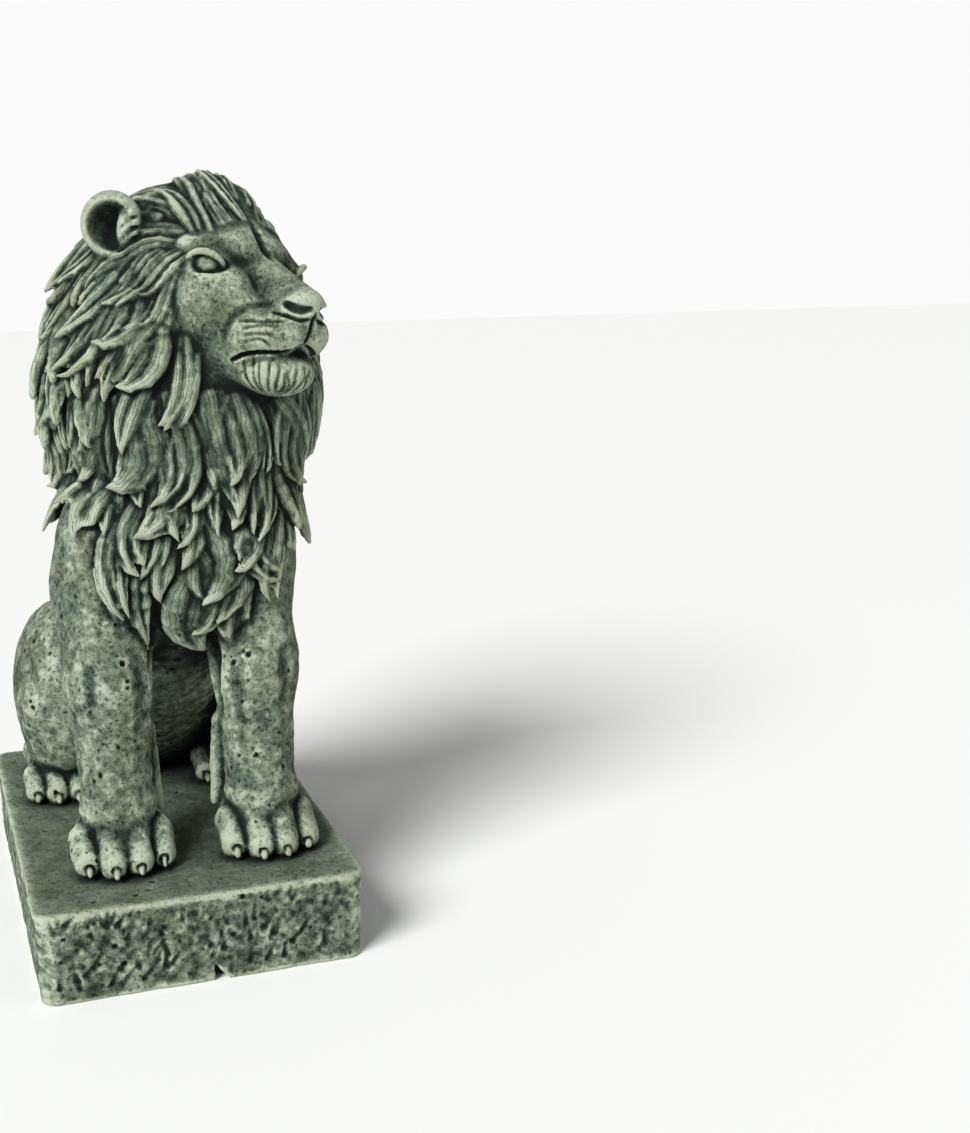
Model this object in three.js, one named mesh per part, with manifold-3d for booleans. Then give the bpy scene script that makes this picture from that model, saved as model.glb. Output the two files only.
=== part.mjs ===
// A seated stone lion on its plinth, cast in one piece, about knee high.
// Millimetres, +Z up. The origin is the middle of the underside, the lion looks along -Y
// and turns its head towards +X.
//
// The figure is a distance field: rounded limbs and ellipsoids that melt into each other,
// hollows carved out of them, and locks of hair that grow over the mane. The field is
// meshed on a grid, thinned by edge collapse, and joined to the plinth.

import * as THREE from 'three';
import { mergeVertices } from 'three/addons/utils/BufferGeometryUtils.js';
import { edgeTable, triTable } from 'three/addons/objects/MarchingCubes.js';
import Module from 'manifold-3d';

// Driving sizes
const STATUE_HEIGHT = 650;
const PLINTH_WIDTH = 270;
const PLINTH_DEPTH = 410;
const PLINTH_HEIGHT = 78;
const PLINTH_DRAFT = 3; // each side of the underside is this much inside the top
const PLINTH_CORNER = 14; // radius of the upright corners
const PLINTH_BEVEL = 4; // worn top and bottom edges
const CHIP_WIDTH = 12; // the notch broken out of the lower front edge
const CHIP_HEIGHT = 15;
const CHIP_DEPTH = 14;
const CHIP_FROM_MIDDLE = 6;
const FIGURE_OFFSET = 8; // the lion sits this far to +X of the plinth's middle

// The figure is drawn about 572 units tall, and scaled so that its crest gives the statue its
// height. All lengths below are in these units, from the middle of the plinth's top.
const FIGURE_HEIGHT = STATUE_HEIGHT - PLINTH_HEIGHT;
const SEAT_DEPTH = 6; // how far the figure runs down into the plinth, so that they are one
const GRID_STEP = 5;
const TRIANGLES = 8400;

// Pose: the head turns towards +X, tips up, and leans over to +X, in degrees
const HEAD_TURN = 28;
const HEAD_TIP = 1;
const HEAD_LEAN = 9;
const BROW = [67, -77, 487]; // midway between the eyes

// Mane
const LOCK_LENGTH = 98;
const LOCK_HALF_WIDTH = 19;
const LOCK_HALF_DEPTH = 9.5;
const LOCK_ROWS = 8;
const LOCKS_ROUND = 21;
const CREST_ROWS = 3;
const LOCK_STEPS = 7; // straight stretches in one lock's spine

// Rings of hair about the face, whose edge is an oval round the head's forward axis
const RIM_HALF_WIDTH = 68;
const RIM_HALF_HEIGHT = 62;
const RIM_DROP = 20; // the oval's middle lies this far under the eyes
const RINGS = 4;
const RING_STEP = 16; // from ring to ring, back along the head
const RING_LOCKS = 25;
const RING_REACH = (140 * Math.PI) / 180; // to each side of the brow

const STONE = new THREE.MeshStandardMaterial({ color: 0x8c9686, roughness: 0.92, metalness: 0 });

// Vectors as arrays

const add = (p, q, s = 1) => [p[0] + q[0] * s, p[1] + q[1] * s, p[2] + q[2] * s];
const dot = (p, q) => p[0] * q[0] + p[1] * q[1] + p[2] * q[2];
const cross = (p, q) => [
  p[1] * q[2] - p[2] * q[1],
  p[2] * q[0] - p[0] * q[2],
  p[0] * q[1] - p[1] * q[0],
];
const scaled = (p, s) => [p[0] * s, p[1] * s, p[2] * s];
const unit = (p) => scaled(p, 1 / Math.max(Math.hypot(...p), 1e-9));
const mix = (p, q, t) => add(scaled(p, 1 - t), q, t);
const clamp = (v, low, high) => Math.min(Math.max(v, low), high);
const smoothStep = (low, high, v) => {
  const t = clamp((v - low) / (high - low), 0, 1);
  return t * t * (3 - 2 * t);
};

// The same number between 0 and 1 for the same seed
const chance = (seed) => {
  const v = Math.sin(seed * 12.9898) * 43758.5453;
  return v - Math.floor(v);
};

// Forms: each has a distance, the box that it reaches, and how softly it melts in

// A limb with round ends, thick at one end and thin at the other
function limb(from, to, radiusFrom, radiusTo, melt = 12) {
  const along = add(to, from, -1);
  const length2 = dot(along, along);
  const taper = radiusFrom - radiusTo;
  const slope2 = Math.max(length2 - taper * taper, 1e-6);
  const distance = (x, y, z) => {
    const p = [x - from[0], y - from[1], z - from[2]];
    const h = dot(p, along);
    const across = Math.hypot(...cross(p, along)) / Math.sqrt(length2);
    const shift = (across * taper) / Math.sqrt(slope2);
    const t = clamp(h / length2 - shift / Math.sqrt(length2), 0, 1);
    return Math.hypot(...add(p, along, -t)) - (radiusFrom - taper * t);
  };
  const most = Math.max(radiusFrom, radiusTo);
  return boxed(distance, [from, to], most, melt);
}

// An ellipsoid; axes turns it
function ball(centre, radii, melt = 12, axes = null) {
  const [rx, ry, rz] = radii;
  const distance = (x, y, z) => {
    let p = [x - centre[0], y - centre[1], z - centre[2]];
    if (axes) p = axes.map((axis) => dot(p, axis));
    const near = Math.hypot(p[0] / rx, p[1] / ry, p[2] / rz);
    const slope = Math.hypot(p[0] / (rx * rx), p[1] / (ry * ry), p[2] / (rz * rz));
    return slope < 1e-9 ? -Math.min(rx, ry, rz) : (near * (near - 1)) / slope;
  };
  return boxed(distance, [centre], Math.max(rx, ry, rz), melt);
}

function boxed(distance, points, reach, melt) {
  const edge = reach + melt + GRID_STEP * 2;
  const low = [0, 1, 2].map((i) => Math.min(...points.map((p) => p[i])) - edge);
  const high = [0, 1, 2].map((i) => Math.max(...points.map((p) => p[i])) + edge);
  return { distance, low, high, melt };
}

const carve = (form) => ({ ...form, hollow: true });

function joined(a, b, melt) {
  const h = Math.max(melt - Math.abs(a - b), 0);
  return Math.min(a, b) - (h * h) / (4 * melt);
}

const FAR = 60; // what the field holds where no form reaches

// One form's share in the field's value at a point
function applied(value, form, x, y, z) {
  const d = form.distance(x, y, z);
  return form.hollow ? -joined(-value, d, form.melt) : joined(value, d, form.melt);
}

function fieldAt(forms, x, y, z) {
  let value = FAR;
  for (const form of forms) {
    const { low, high } = form;
    if (x < low[0] || y < low[1] || z < low[2] || x > high[0] || y > high[1] || z > high[2]) continue;
    value = applied(value, form, x, y, z);
  }
  return value;
}

// The head's own frame: forward along the muzzle, side towards the lion's left, and up

const turn = THREE.MathUtils.degToRad(HEAD_TURN);
const tip = THREE.MathUtils.degToRad(HEAD_TIP);
const lean = THREE.MathUtils.degToRad(HEAD_LEAN);
const LEVEL = [Math.cos(turn), Math.sin(turn), 0];
const FORWARD = [Math.sin(turn) * Math.cos(tip), -Math.cos(turn) * Math.cos(tip), Math.sin(tip)];
const SIDE = add(scaled(LEVEL, Math.cos(lean)), cross(FORWARD, LEVEL), -Math.sin(lean));
const UP = cross(FORWARD, SIDE);
const HEAD_AXES = [FORWARD, SIDE, UP];
const head = (a, b, c) => add(add(add(BROW, FORWARD, a), SIDE, b), UP, c);
const inHead = (p) => HEAD_AXES.map((axis) => dot(add(p, BROW, -1), axis));
const SIDES = [-1, 1];

// Trunk, rump and haunches

function trunk() {
  return [
    limb([2, -36, 248], [0, 30, 172], 74, 72, 20),
    limb([0, 30, 172], [0, 110, 98], 74, 78, 24),
    ball([0, 126, 84], [84, 66, 84], 20),
    ball([4, 12, 290], [78, 74, 74], 24),
    ...SIDES.map((s) => ball([61 * s, -58, 232], [38, 50, 80], 16)),
  ];
}

function hindLeg(s) {
  const pawX = s < 0 ? -88 : 68;
  return [
    ball([84 * s, 92, 94], [43, 72, 84], 12),
    limb([94 * s, 58, 96], [pawX + 6 * s, 82, 30], 30, 22, 8),
    limb([pawX, 74, 18], [pawX + 8 * s, 140, 18], 23, 23, 8),
    ...paw(pawX, 42, 17, 10.5, 22),
  ];
}

function foreLeg(s) {
  const x = 61 * s;
  return [
    limb([58 * s, -62, 226], [x, -92, 150], 40, 34.5, 14),
    limb([x, -92, 150], [x, -104, 52], 34.5, 28.5, 10),
    ball([67 * s, -88, 166], [28, 34, 54], 14),
    ball([x, -106, 46], [30, 27, 24], 10),
    limb([x, -104, 42], [x, -118, 24], 27, 22, 8),
    ball([x, -120, 13], [35, 28, 18], 8),
    limb([x - 26 * s, -84, 104], [x - 38 * s, -88, 34], 11, 3.5, 6), // the fringe behind the wrist
    ...paw(x, -147, 19.5, 12.2, 29),
  ];
}

// Four toes with raised knuckles, and their claws. tipY is the foremost toe's centre.
function paw(x, tipY, spacing, radius, height) {
  const forms = [];
  for (let toe = 0; toe < 4; toe++) {
    const across = toe - 1.5;
    const outer = Math.abs(across) > 1;
    const y = tipY + (outer ? radius * 0.9 : 0);
    const drop = outer ? 0.85 : 1;
    const end = [x + across * (spacing + 0.8), y, radius];
    const knuckle = [x + across * spacing, y + radius * 1.9, height * drop];
    const root = [x + across * spacing * 0.6, y + radius * 4.2, height * 1.35 * drop];
    forms.push(limb(root, knuckle, radius * 0.9, radius * 1.08, 4));
    forms.push(limb(knuckle, end, radius * 1.08, radius * 0.98, 2.5));
    const claw = add(end, [0, -radius * 0.8, -radius * 0.15]);
    forms.push(limb(add(claw, [0, 4, 1]), add(claw, [0, -radius * 0.2, -radius * 0.35]), 3.6, 2.2, 0.8));
  }
  return forms;
}

// The tail lies on the plinth, from the rump round to the far haunch.
function tail() {
  const route = new THREE.CatmullRomCurve3(
    [
      [4, 178, 62],
      [26, 190, 24],
      [64, 182, 12],
      [98, 156, 12],
      [110, 118, 13],
      [110, 88, 15],
    ].map((p) => new THREE.Vector3(...p)),
  );
  const steps = 9;
  const forms = [];
  for (let i = 0; i < steps; i++) {
    const from = route.getPoint(i / steps).toArray();
    const to = route.getPoint((i + 1) / steps).toArray();
    const radius = (t) => 14 - 3 * t + 6 * smoothStep(0.75, 0.92, t);
    forms.push(limb(from, to, radius(i / steps), radius((i + 1) / steps), 5));
  }
  return forms;
}

// The mass of the mane under its locks
function maneMass() {
  return [
    ball([24, -16, 386], [113, 105, 116], 20),
    ball([17, -46, 272], [88, 74, 98], 30),
    ball([28, 0, 446], [92, 90, 88], 20),
    ball([14, 24, 322], [92, 70, 88], 24),
  ];
}

function skull() {
  return [
    ball(head(-48, 0, 2), [66, 60, 54], 16, HEAD_AXES),
    ball(head(-20, 0, 12), [37, 46, 29], 14, HEAD_AXES),
    ball(head(-46, 0, 38), [38, 30, 36], 14, HEAD_AXES),
    ball(head(-74, 0, 26), [44, 56, 38], 16, HEAD_AXES),
  ];
}

function cheeks() {
  return SIDES.flatMap((s) => [
    ball(head(-8, 35 * s, -32), [44, 33, 38], 14, HEAD_AXES),
    limb(head(20, 30 * s, -18), head(-34, 50 * s, -6), 17, 22, 12), // cheekbone
    limb(head(44, 14 * s, -78), head(-20, 32 * s, -62), 16, 26, 10), // jaw
  ]);
}

function face() {
  const forms = [
    limb(head(6, 0, -8), head(66, 0, -37), 26, 22, 10), // muzzle
    limb(head(14, 0, 2), head(78, 0, -25), 14, 13, 10), // bridge of the nose
    ball(head(80, 0, -27), [12, 18, 11], 5, HEAD_AXES), // nose pad
    ball(head(48, 0, -80), [34, 30, 20], 4, HEAD_AXES), // chin
  ];
  for (const s of SIDES) {
    forms.push(
      ball(head(57, 18 * s, -49), [31, 21, 19], 8, HEAD_AXES), // lip
      ball(head(28, 26 * s, -58), [24, 15, 17], 8, HEAD_AXES), // corner of the mouth
      limb(head(10, 15 * s, 14), head(-10, 50 * s, 13), 12, 8, 11), // brow
      carve(ball(head(18, 42 * s, -2), [11, 16, 11], 5, HEAD_AXES)), // eye socket
      carve(ball(head(90, 11 * s, -31), [8, 6, 4.5], 2, HEAD_AXES)), // nostril
      ball(head(6, 43 * s, 0), [10, 10, 10], 1.5, HEAD_AXES), // eyeball
    );
  }
  return forms;
}

// Cupped ears with a thick rim, open towards the front, with tufts of hair inside
function ears() {
  return SIDES.flatMap((s) => {
    const facing = unit(add(scaled(FORWARD, 0.8), SIDE, 0.6 * s));
    const across = scaled(unit(cross(facing, UP)), -s);
    const axes = [facing, across, UP];
    const at = head(-75, 79 * s, 27);
    const inEar = (f, a, u) => add(add(add(at, facing, f), across, a), UP, u);
    const tufts = [0, 1, 2].map((k) =>
      limb(inEar(4, 5 * k - 13, 9 * k - 12), inEar(13 - 3 * k, 8 * k + 2, 16 * k - 10), 3.6, 1.3, 2),
    );
    return [ball(at, [17, 25, 27], 6, axes), carve(ball(inEar(12, -3, -2), [17, 16, 18], 3, axes)), ...tufts];
  });
}

// Locks of the mane

// How far forward the edge of the face lies, from the brow (0) round to the jaw (pi)
function rimForward(theta) {
  const up = Math.cos(theta);
  return -11 + 12 * Math.max(up, 0) + 32 * Math.pow(Math.max(-up, 0), 1.5);
}

// Which way the hair lies at a point: out and back from the face, then down, and in towards
// the breastbone at the bottom.
function hairFlow(p, lean) {
  const fromFace = add(p, head(-30, 0, -22), -1);
  const outward = unit(add(fromFace, FORWARD, -dot(fromFace, FORWARD)));
  const near = clamp(1.55 - Math.hypot(...fromFace) / 105, 0, 1);
  const overBrow = near * smoothStep(0, 0.8, dot(outward, UP));
  const down = (0.85 + 0.4 * (1 - near)) * (1 - overBrow);
  const inward = -0.55 * (p[0] / 80) * smoothStep(310, 220, p[2]);
  let way = scaled(outward, near);
  way = add(way, FORWARD, -0.55 * near);
  way = add(way, [inward + lean * (1 - 0.6 * near), 0, -down]);
  return unit(way);
}

function slopeAt(forms, p) {
  const e = 1.5;
  return unit(
    [0, 1, 2].map((i) => {
      const step = [0, 0, 0];
      step[i] = e;
      return fieldAt(forms, ...add(p, step)) - fieldAt(forms, ...add(p, step, -1));
    }),
  );
}

// Grows one lock's spine over the mass under it, and returns its points with their normals.
function growSpine(mass, root, length, lean, curl, depth, lift) {
  const spine = [];
  let p = root;
  for (let i = 0; i <= LOCK_STEPS; i++) {
    const t = i / LOCK_STEPS;
    const normal = slopeAt(mass, p);
    p = add(p, normal, -fieldAt(mass, ...p));
    const flow = hairFlow(p, lean);
    const flat = unit(add(flow, normal, -dot(flow, normal)));
    const angle = curl * Math.sin(Math.PI * (1.1 * t - 0.35));
    const way = add(scaled(flat, Math.cos(angle)), cross(normal, flat), Math.sin(angle));
    spine.push({ at: add(p, normal, depth * (1.1 * t - 0.45) + lift * t * t * t), normal });
    p = add(p, way, length / LOCK_STEPS);
  }
  return spine;
}

const lockWidth = (t) => Math.pow(Math.max(1 - t * t, 0), 0.85) * (0.68 + t);
const lockDepth = (t) => Math.sqrt(Math.max(1 - t * t, 0)) * (0.75 + 0.45 * t);

// A flame-shaped lock about its spine, with one edge raised by tilt
function lock(spine, halfWidth, halfDepth, tilt) {
  const last = spine.length - 1;
  const parts = [];
  for (let i = 0; i < last; i++) {
    const along = add(spine[i + 1].at, spine[i].at, -1);
    const across = unit(cross(along, spine[i].normal));
    parts.push({ from: spine[i].at, along, across, length2: dot(along, along) });
  }
  const distance = (x, y, z) => {
    let best = FAR;
    for (let i = 0; i < last; i++) {
      const { from, along, across, length2 } = parts[i];
      const p = [x - from[0], y - from[1], z - from[2]];
      const s = clamp(dot(p, along) / length2, 0, 1);
      const q = add(p, along, -s);
      const t = (i + s) / last;
      const w = Math.max(halfWidth * lockWidth(t), 1.5);
      const u = dot(q, across);
      const h = Math.max(halfDepth * lockDepth(t), 1.2) * (1 + tilt * clamp(u / w, -1, 1));
      const v2 = Math.max(dot(q, q) - u * u, 0);
      const ring = Math.hypot(u / w, Math.sqrt(v2) / h);
      const slope = Math.hypot(u / (w * w), Math.sqrt(v2) / (h * h));
      best = Math.min(best, slope < 1e-9 ? -h : (ring * (ring - 1)) / slope);
    }
    return best;
  };
  return boxed(distance, spine.map((s) => s.at), halfWidth, 1.5);
}

// The mane's axis, from the breastbone to the back of the skull
const MANE_FOOT = [8, -40, 200];
const MANE_HEAD = [32, -6, 500];

const byEar = ([a, b, c], reach) =>
  a > -94 && a < -46 && Math.abs(Math.abs(b) - 79) < reach && c > 2;

// Where the mane's rows grow: not on the face, its rings of hair or the ears, and down to the
// mane's lower edge
function hairGrows(p, azimuth) {
  const [a, b, c] = inHead(p);
  const across = b / RIM_HALF_WIDTH;
  const up = (c + RIM_DROP) / RIM_HALF_HEIGHT;
  const theta = Math.abs(Math.atan2(across, up));
  const behindRings = rimForward(theta) - RING_STEP * (RINGS - 0.4);
  const inRings = a > behindRings && Math.hypot(across, up) < 1.95 && theta < RING_REACH;
  const onChin = a > 36 && c > -124;
  const underJaw = theta >= RING_REACH && a > -20 && c > -92;
  const lowest = 240 + 125 * smoothStep(0.25, 1.3, Math.abs(azimuth));
  return !inRings && !onChin && !underJaw && !byEar([a, b, c], 22) && p[2] > lowest;
}

// One lock from its root on the mass. size is 1 for a full lock and less for a tuft, and stretch
// makes it longer and narrower.
function lockFrom(mass, root, seed, size, stretch, side) {
  const length = LOCK_LENGTH * size * stretch * (0.8 + 0.4 * chance(seed + 0.3));
  const halfWidth = (LOCK_HALF_WIDTH * size * (0.85 + 0.4 * chance(seed + 0.6))) / stretch;
  const halfDepth = LOCK_HALF_DEPTH * Math.pow(size, 0.8);
  const lean = 0.25 * side + 0.7 * (chance(seed + 0.8) - 0.5);
  const swing = chance(seed + 0.45) - 0.5;
  const turn = 1.5 * swing + 0.3 * Math.sign(swing) + 0.3 * side;
  const curl = turn * Math.min(size, 1 / (stretch * stretch));
  const lift = (5 + 9 * chance(seed + 0.7)) * size * size;
  const tilt = 0.7 * (chance(seed + 0.53) - 0.5);
  const spine = growSpine(mass, root, length, lean, curl, halfDepth, lift);
  return lock(spine, halfWidth, halfDepth, tilt);
}

function maneLocks(mass) {
  const locks = [];
  for (let row = 0; row < LOCK_ROWS + CREST_ROWS; row++) {
    const axis = mix(MANE_FOOT, MANE_HEAD, Math.min(row / (LOCK_ROWS - 1), 1) * 0.86 + 0.14);
    const climb = Math.max(row - LOCK_ROWS + 1, 0) * 0.42;
    const count = Math.floor(LOCKS_ROUND * Math.cos(climb) + 0.5) + 1;
    for (let i = 0; i < count; i++) {
      const seed = row * 31 + i;
      const share = (i + 0.5 * (row % 2) + 0.5 * (chance(seed) - 0.5)) / count;
      const azimuth = share * 2 * Math.PI - Math.PI;
      const level = Math.cos(climb);
      const ray = [Math.sin(azimuth) * level, -Math.cos(azimuth) * level, Math.sin(climb)];
      const start = add(axis, [0, 0, 14 * (chance(seed + 0.15) - 0.5)]);
      const root = surfaceAlong(mass, start, ray);
      if (!root || !hairGrows(root, azimuth)) continue;
      locks.push(lockFrom(mass, root, seed, 1, 1, Math.sin(azimuth)));
    }
  }
  return locks;
}

// Rings of hair about the face: short tufts at its edge, long combed locks over the brow, and
// fuller ones farther back
function faceRings(mass) {
  const locks = [];
  for (let ring = 0; ring < RINGS; ring++) {
    const count = RING_LOCKS - 3 * ring;
    for (let i = 0; i < count; i++) {
      const seed = 700 + ring * 41 + i;
      const share = (i + 0.5 * (ring % 2) + 0.5 * (chance(seed) - 0.5)) / (count - 0.5);
      const theta = (share * 2 - 1) * RING_REACH;
      const out = scaled(SIDE, RIM_HALF_WIDTH * Math.sin(theta));
      const ray = unit(add(out, UP, RIM_HALF_HEIGHT * Math.cos(theta)));
      const start = head(rimForward(theta) - RING_STEP * ring, 0, -RIM_DROP);
      const root = surfaceAlong(mass, start, ray);
      if (!root || Math.hypot(...add(root, start, -1)) > 1.7 * RIM_HALF_WIDTH) continue;
      if (byEar(inHead(root), 20)) continue;
      const crest = smoothStep(1.1, 0.6, Math.abs(theta));
      const size = 0.6 + (0.45 * ring) / (RINGS - 1);
      const side = 0.8 * Math.sin(theta) * (1 - crest);
      locks.push(lockFrom(mass, root, seed, size, 1 + 0.45 * crest, side));
    }
  }
  return locks;
}

// The outermost point of the mass on a ray
function surfaceAlong(mass, from, ray) {
  const farthest = 180;
  const stride = 4;
  let outside = farthest;
  for (let r = farthest; r > 20; r -= stride) {
    if (fieldAt(mass, ...add(from, ray, r)) < 0) {
      let inside = r;
      for (let i = 0; i < 5; i++) {
        const middle = (inside + outside) / 2;
        if (fieldAt(mass, ...add(from, ray, middle)) < 0) inside = middle;
        else outside = middle;
      }
      return add(from, ray, inside);
    }
    outside = r;
  }
  return null;
}

// The whole figure, in its own units
function figure() {
  const mass = [...trunk(), ...maneMass(), ...skull(), ...cheeks()];
  return [
    ...mass,
    ...SIDES.flatMap(hindLeg),
    ...SIDES.flatMap(foreLeg),
    ...tail(),
    ...face(),
    ...maneLocks(mass),
    ...faceRings(mass),
    ...ears(),
  ];
}

// Meshing

// Marching cubes over the forms' field. Returns points and triangles that share them.
function meshField(forms, low, high, step) {
  const size = [0, 1, 2].map((i) => Math.ceil((high[i] - low[i]) / step) + 1);
  const [nx, ny, nz] = size;
  const field = new Float64Array(nx * ny * nz).fill(FAR);
  const cell = (i, j, k) => i + nx * (j + ny * k);
  for (const form of forms) {
    const first = [0, 1, 2].map((i) => clamp(Math.ceil((form.low[i] - low[i]) / step), 0, size[i]));
    const final = [0, 1, 2].map((i) => clamp(Math.floor((form.high[i] - low[i]) / step) + 1, 0, size[i]));
    for (let k = first[2]; k < final[2]; k++)
      for (let j = first[1]; j < final[1]; j++)
        for (let i = first[0]; i < final[0]; i++) {
          const at = cell(i, j, k);
          field[at] = applied(field[at], form, low[0] + i * step, low[1] + j * step, low[2] + k * step);
        }
  }
  const onLevel = 1e-3; // keeps a vertex off the grid's own corners
  for (let k = 0; k < nz; k++)
    for (let j = 0; j < ny; j++)
      for (let i = 0; i < nx; i++) {
        const at = cell(i, j, k);
        field[at] = Math.max(field[at], -SEAT_DEPTH - (low[2] + k * step));
        if (Math.abs(field[at]) < onLevel) field[at] = onLevel;
      }
  // Corners and edges are numbered as in the tables
  const corners = [[0, 0, 0], [1, 0, 0], [0, 1, 0], [1, 1, 0], [0, 0, 1], [1, 0, 1], [0, 1, 1], [1, 1, 1]];
  const order = [0, 1, 3, 2, 4, 5, 7, 6];
  const edges = [[0, 1], [1, 2], [2, 3], [3, 0], [4, 5], [5, 6], [6, 7], [7, 4], [0, 4], [1, 5], [2, 6], [3, 7]];
  const points = [];
  const triangles = [];
  const made = new Map();
  const vertexOn = (i, j, k, edge) => {
    const [c0, c1] = edges[edge].map((c) => corners[order[c]]);
    const at = [c0, c1].map((c) => cell(i + c[0], j + c[1], k + c[2]));
    const key = Math.min(...at) * 4 + (c0[0] !== c1[0] ? 0 : c0[1] !== c1[1] ? 1 : 2);
    if (made.has(key)) return made.get(key);
    const t = clamp(field[at[0]] / (field[at[0]] - field[at[1]]), 0.05, 0.95);
    const corner = mix(c0, c1, t);
    points.push([0, 1, 2].map((axis) => low[axis] + ([i, j, k][axis] + corner[axis]) * step));
    made.set(key, points.length - 1);
    return points.length - 1;
  };
  for (let k = 0; k < nz - 1; k++)
    for (let j = 0; j < ny - 1; j++)
      for (let i = 0; i < nx - 1; i++) {
        let kind = 0;
        for (let c = 0; c < 8; c++) {
          const [ci, cj, ck] = corners[order[c]];
          if (field[cell(i + ci, j + cj, k + ck)] < 0) kind |= 1 << c;
        }
        if (edgeTable[kind] === 0) continue;
        for (let n = kind * 16; triTable[n] !== -1; n += 3)
          triangles.push([2, 1, 0].map((m) => vertexOn(i, j, k, triTable[n + m])));
      }
  return { points, triangles };
}

// Keeps the surface's largest shell, so that no pocket stays sealed inside the mane.
function outerShell({ points, triangles }) {
  const owner = points.map((_, index) => index);
  const rootOf = (v) => {
    while (owner[v] !== v) {
      owner[v] = owner[owner[v]];
      v = owner[v];
    }
    return v;
  };
  for (const [a, b, c] of triangles) {
    owner[rootOf(a)] = rootOf(b);
    owner[rootOf(b)] = rootOf(c);
  }
  const sizes = new Map();
  for (const [a] of triangles) sizes.set(rootOf(a), (sizes.get(rootOf(a)) || 0) + 1);
  const [largest] = [...sizes].reduce((best, next) => (next[1] > best[1] ? next : best));
  return { points, triangles: triangles.filter(([a]) => rootOf(a) === largest) };
}

// Edge collapse by squared distance to the planes around each point (quadric error)
function thinned({ points, triangles }, target) {
  const quadrics = points.map(() => new Float64Array(10));
  const around = points.map(() => new Set());
  const alive = triangles.map(() => true);
  const normalOf = (a, b, c) => cross(add(b, a, -1), add(c, a, -1));
  triangles.forEach((tri, index) => {
    const [a, b, c] = tri.map((v) => points[v]);
    const area = normalOf(a, b, c);
    const n = unit(area);
    const weight = Math.hypot(...area);
    const plane = [...n, -dot(n, a)];
    for (const v of tri) {
      around[v].add(index);
      let slot = 0;
      for (let i = 0; i < 4; i++)
        for (let j = i; j < 4; j++) quadrics[v][slot++] += weight * plane[i] * plane[j];
    }
  });
  const errorOf = (q, [x, y, z]) =>
    q[0] * x * x + 2 * q[1] * x * y + 2 * q[2] * x * z + 2 * q[3] * x
    + q[4] * y * y + 2 * q[5] * y * z + 2 * q[6] * y + q[7] * z * z + 2 * q[8] * z + q[9];
  const bestPoint = (q, a, b) => {
    const rows = [[q[0], q[1], q[2]], [q[1], q[4], q[5]], [q[2], q[5], q[7]]];
    const right = [-q[3], -q[6], -q[8]];
    const det = dot(rows[0], cross(rows[1], rows[2]));
    const middle = mix(a, b, 0.5);
    const trace = q[0] + q[4] + q[7];
    if (Math.abs(det) > 1e-5 * trace * trace * trace) {
      const solved = add(
        add(scaled(cross(rows[1], rows[2]), right[0] / det), cross(rows[2], rows[0]), right[1] / det),
        cross(rows[0], rows[1]),
        right[2] / det,
      );
      if (Math.hypot(...add(solved, middle, -1)) < Math.hypot(...add(a, b, -1))) return solved;
    }
    return [a, b, middle].reduce((best, p) => (errorOf(q, p) < errorOf(q, best) ? p : best));
  };
  const heap = [];
  const version = new Int32Array(points.length);
  const sink = (start) => {
    for (let at = start; ; ) {
      let least = at;
      for (const child of [2 * at + 1, 2 * at + 2])
        if (child < heap.length && heap[child].cost < heap[least].cost) least = child;
      if (least === at) return;
      [heap[at], heap[least]] = [heap[least], heap[at]];
      at = least;
    }
  };
  const offer = (a, b) => {
    const q = quadrics[a].map((v, i) => v + quadrics[b][i]);
    const at = bestPoint(q, points[a], points[b]);
    const length = Math.hypot(...add(points[a], points[b], -1));
    heap.push({ a, b, at, cost: errorOf(q, at) + 1e-3 * length ** 3, stamp: version[a] + version[b] });
    for (let i = heap.length - 1; i > 0; ) {
      const parent = (i - 1) >> 1;
      if (heap[parent].cost <= heap[i].cost) break;
      [heap[parent], heap[i]] = [heap[i], heap[parent]];
      i = parent;
    }
  };
  const take = () => {
    const top = heap[0];
    const end = heap.pop();
    if (heap.length) {
      heap[0] = end;
      sink(0);
    }
    return top;
  };
  const neighbours = (v) => {
    const found = new Set();
    for (const index of around[v]) for (const w of triangles[index]) if (w !== v) found.add(w);
    return found;
  };
  const flips = (v, other, at) => {
    for (const index of around[v]) {
      const tri = triangles[index];
      if (tri.includes(other)) continue;
      const before = normalOf(...tri.map((w) => points[w]));
      const after = normalOf(...tri.map((w) => (w === v ? at : points[w])));
      const size = Math.hypot(...before) * Math.hypot(...after);
      if (dot(before, after) < 0.25 * size || Math.hypot(...after) < 0.05) return true;
    }
    return false;
  };
  for (const tri of triangles)
    for (let i = 0; i < 3; i++) if (tri[i] < tri[(i + 1) % 3]) offer(tri[i], tri[(i + 1) % 3]);
  let left = triangles.length;
  while (left > target && heap.length) {
    const { a, b, at, stamp } = take();
    if (!around[a].size || !around[b].size || stamp !== version[a] + version[b]) continue;
    const nearA = neighbours(a);
    const nearB = neighbours(b);
    if (!nearA.has(b)) continue;
    const shared = [...nearA].filter((v) => nearB.has(v));
    if (shared.length !== 2 || flips(a, b, at) || flips(b, a, at)) continue;
    for (const index of [...around[b]]) {
      const tri = triangles[index];
      if (tri.includes(a)) {
        alive[index] = false;
        left--;
        for (const v of tri) around[v].delete(index);
      } else {
        triangles[index] = tri.map((v) => (v === b ? a : v));
        around[a].add(index);
      }
    }
    around[b].clear();
    points[a] = at;
    quadrics[a] = quadrics[a].map((v, i) => v + quadrics[b][i]);
    version[a] += points.length;
    for (const v of neighbours(a)) offer(a, v);
  }
  return { points, triangles: triangles.filter((_, index) => alive[index]) };
}

// Solids

function geometryFrom(points, triangles) {
  const geometry = new THREE.BufferGeometry();
  geometry.setAttribute('position', new THREE.Float32BufferAttribute(points.flat(), 3));
  geometry.setIndex(triangles.flat());
  return geometry;
}

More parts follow.
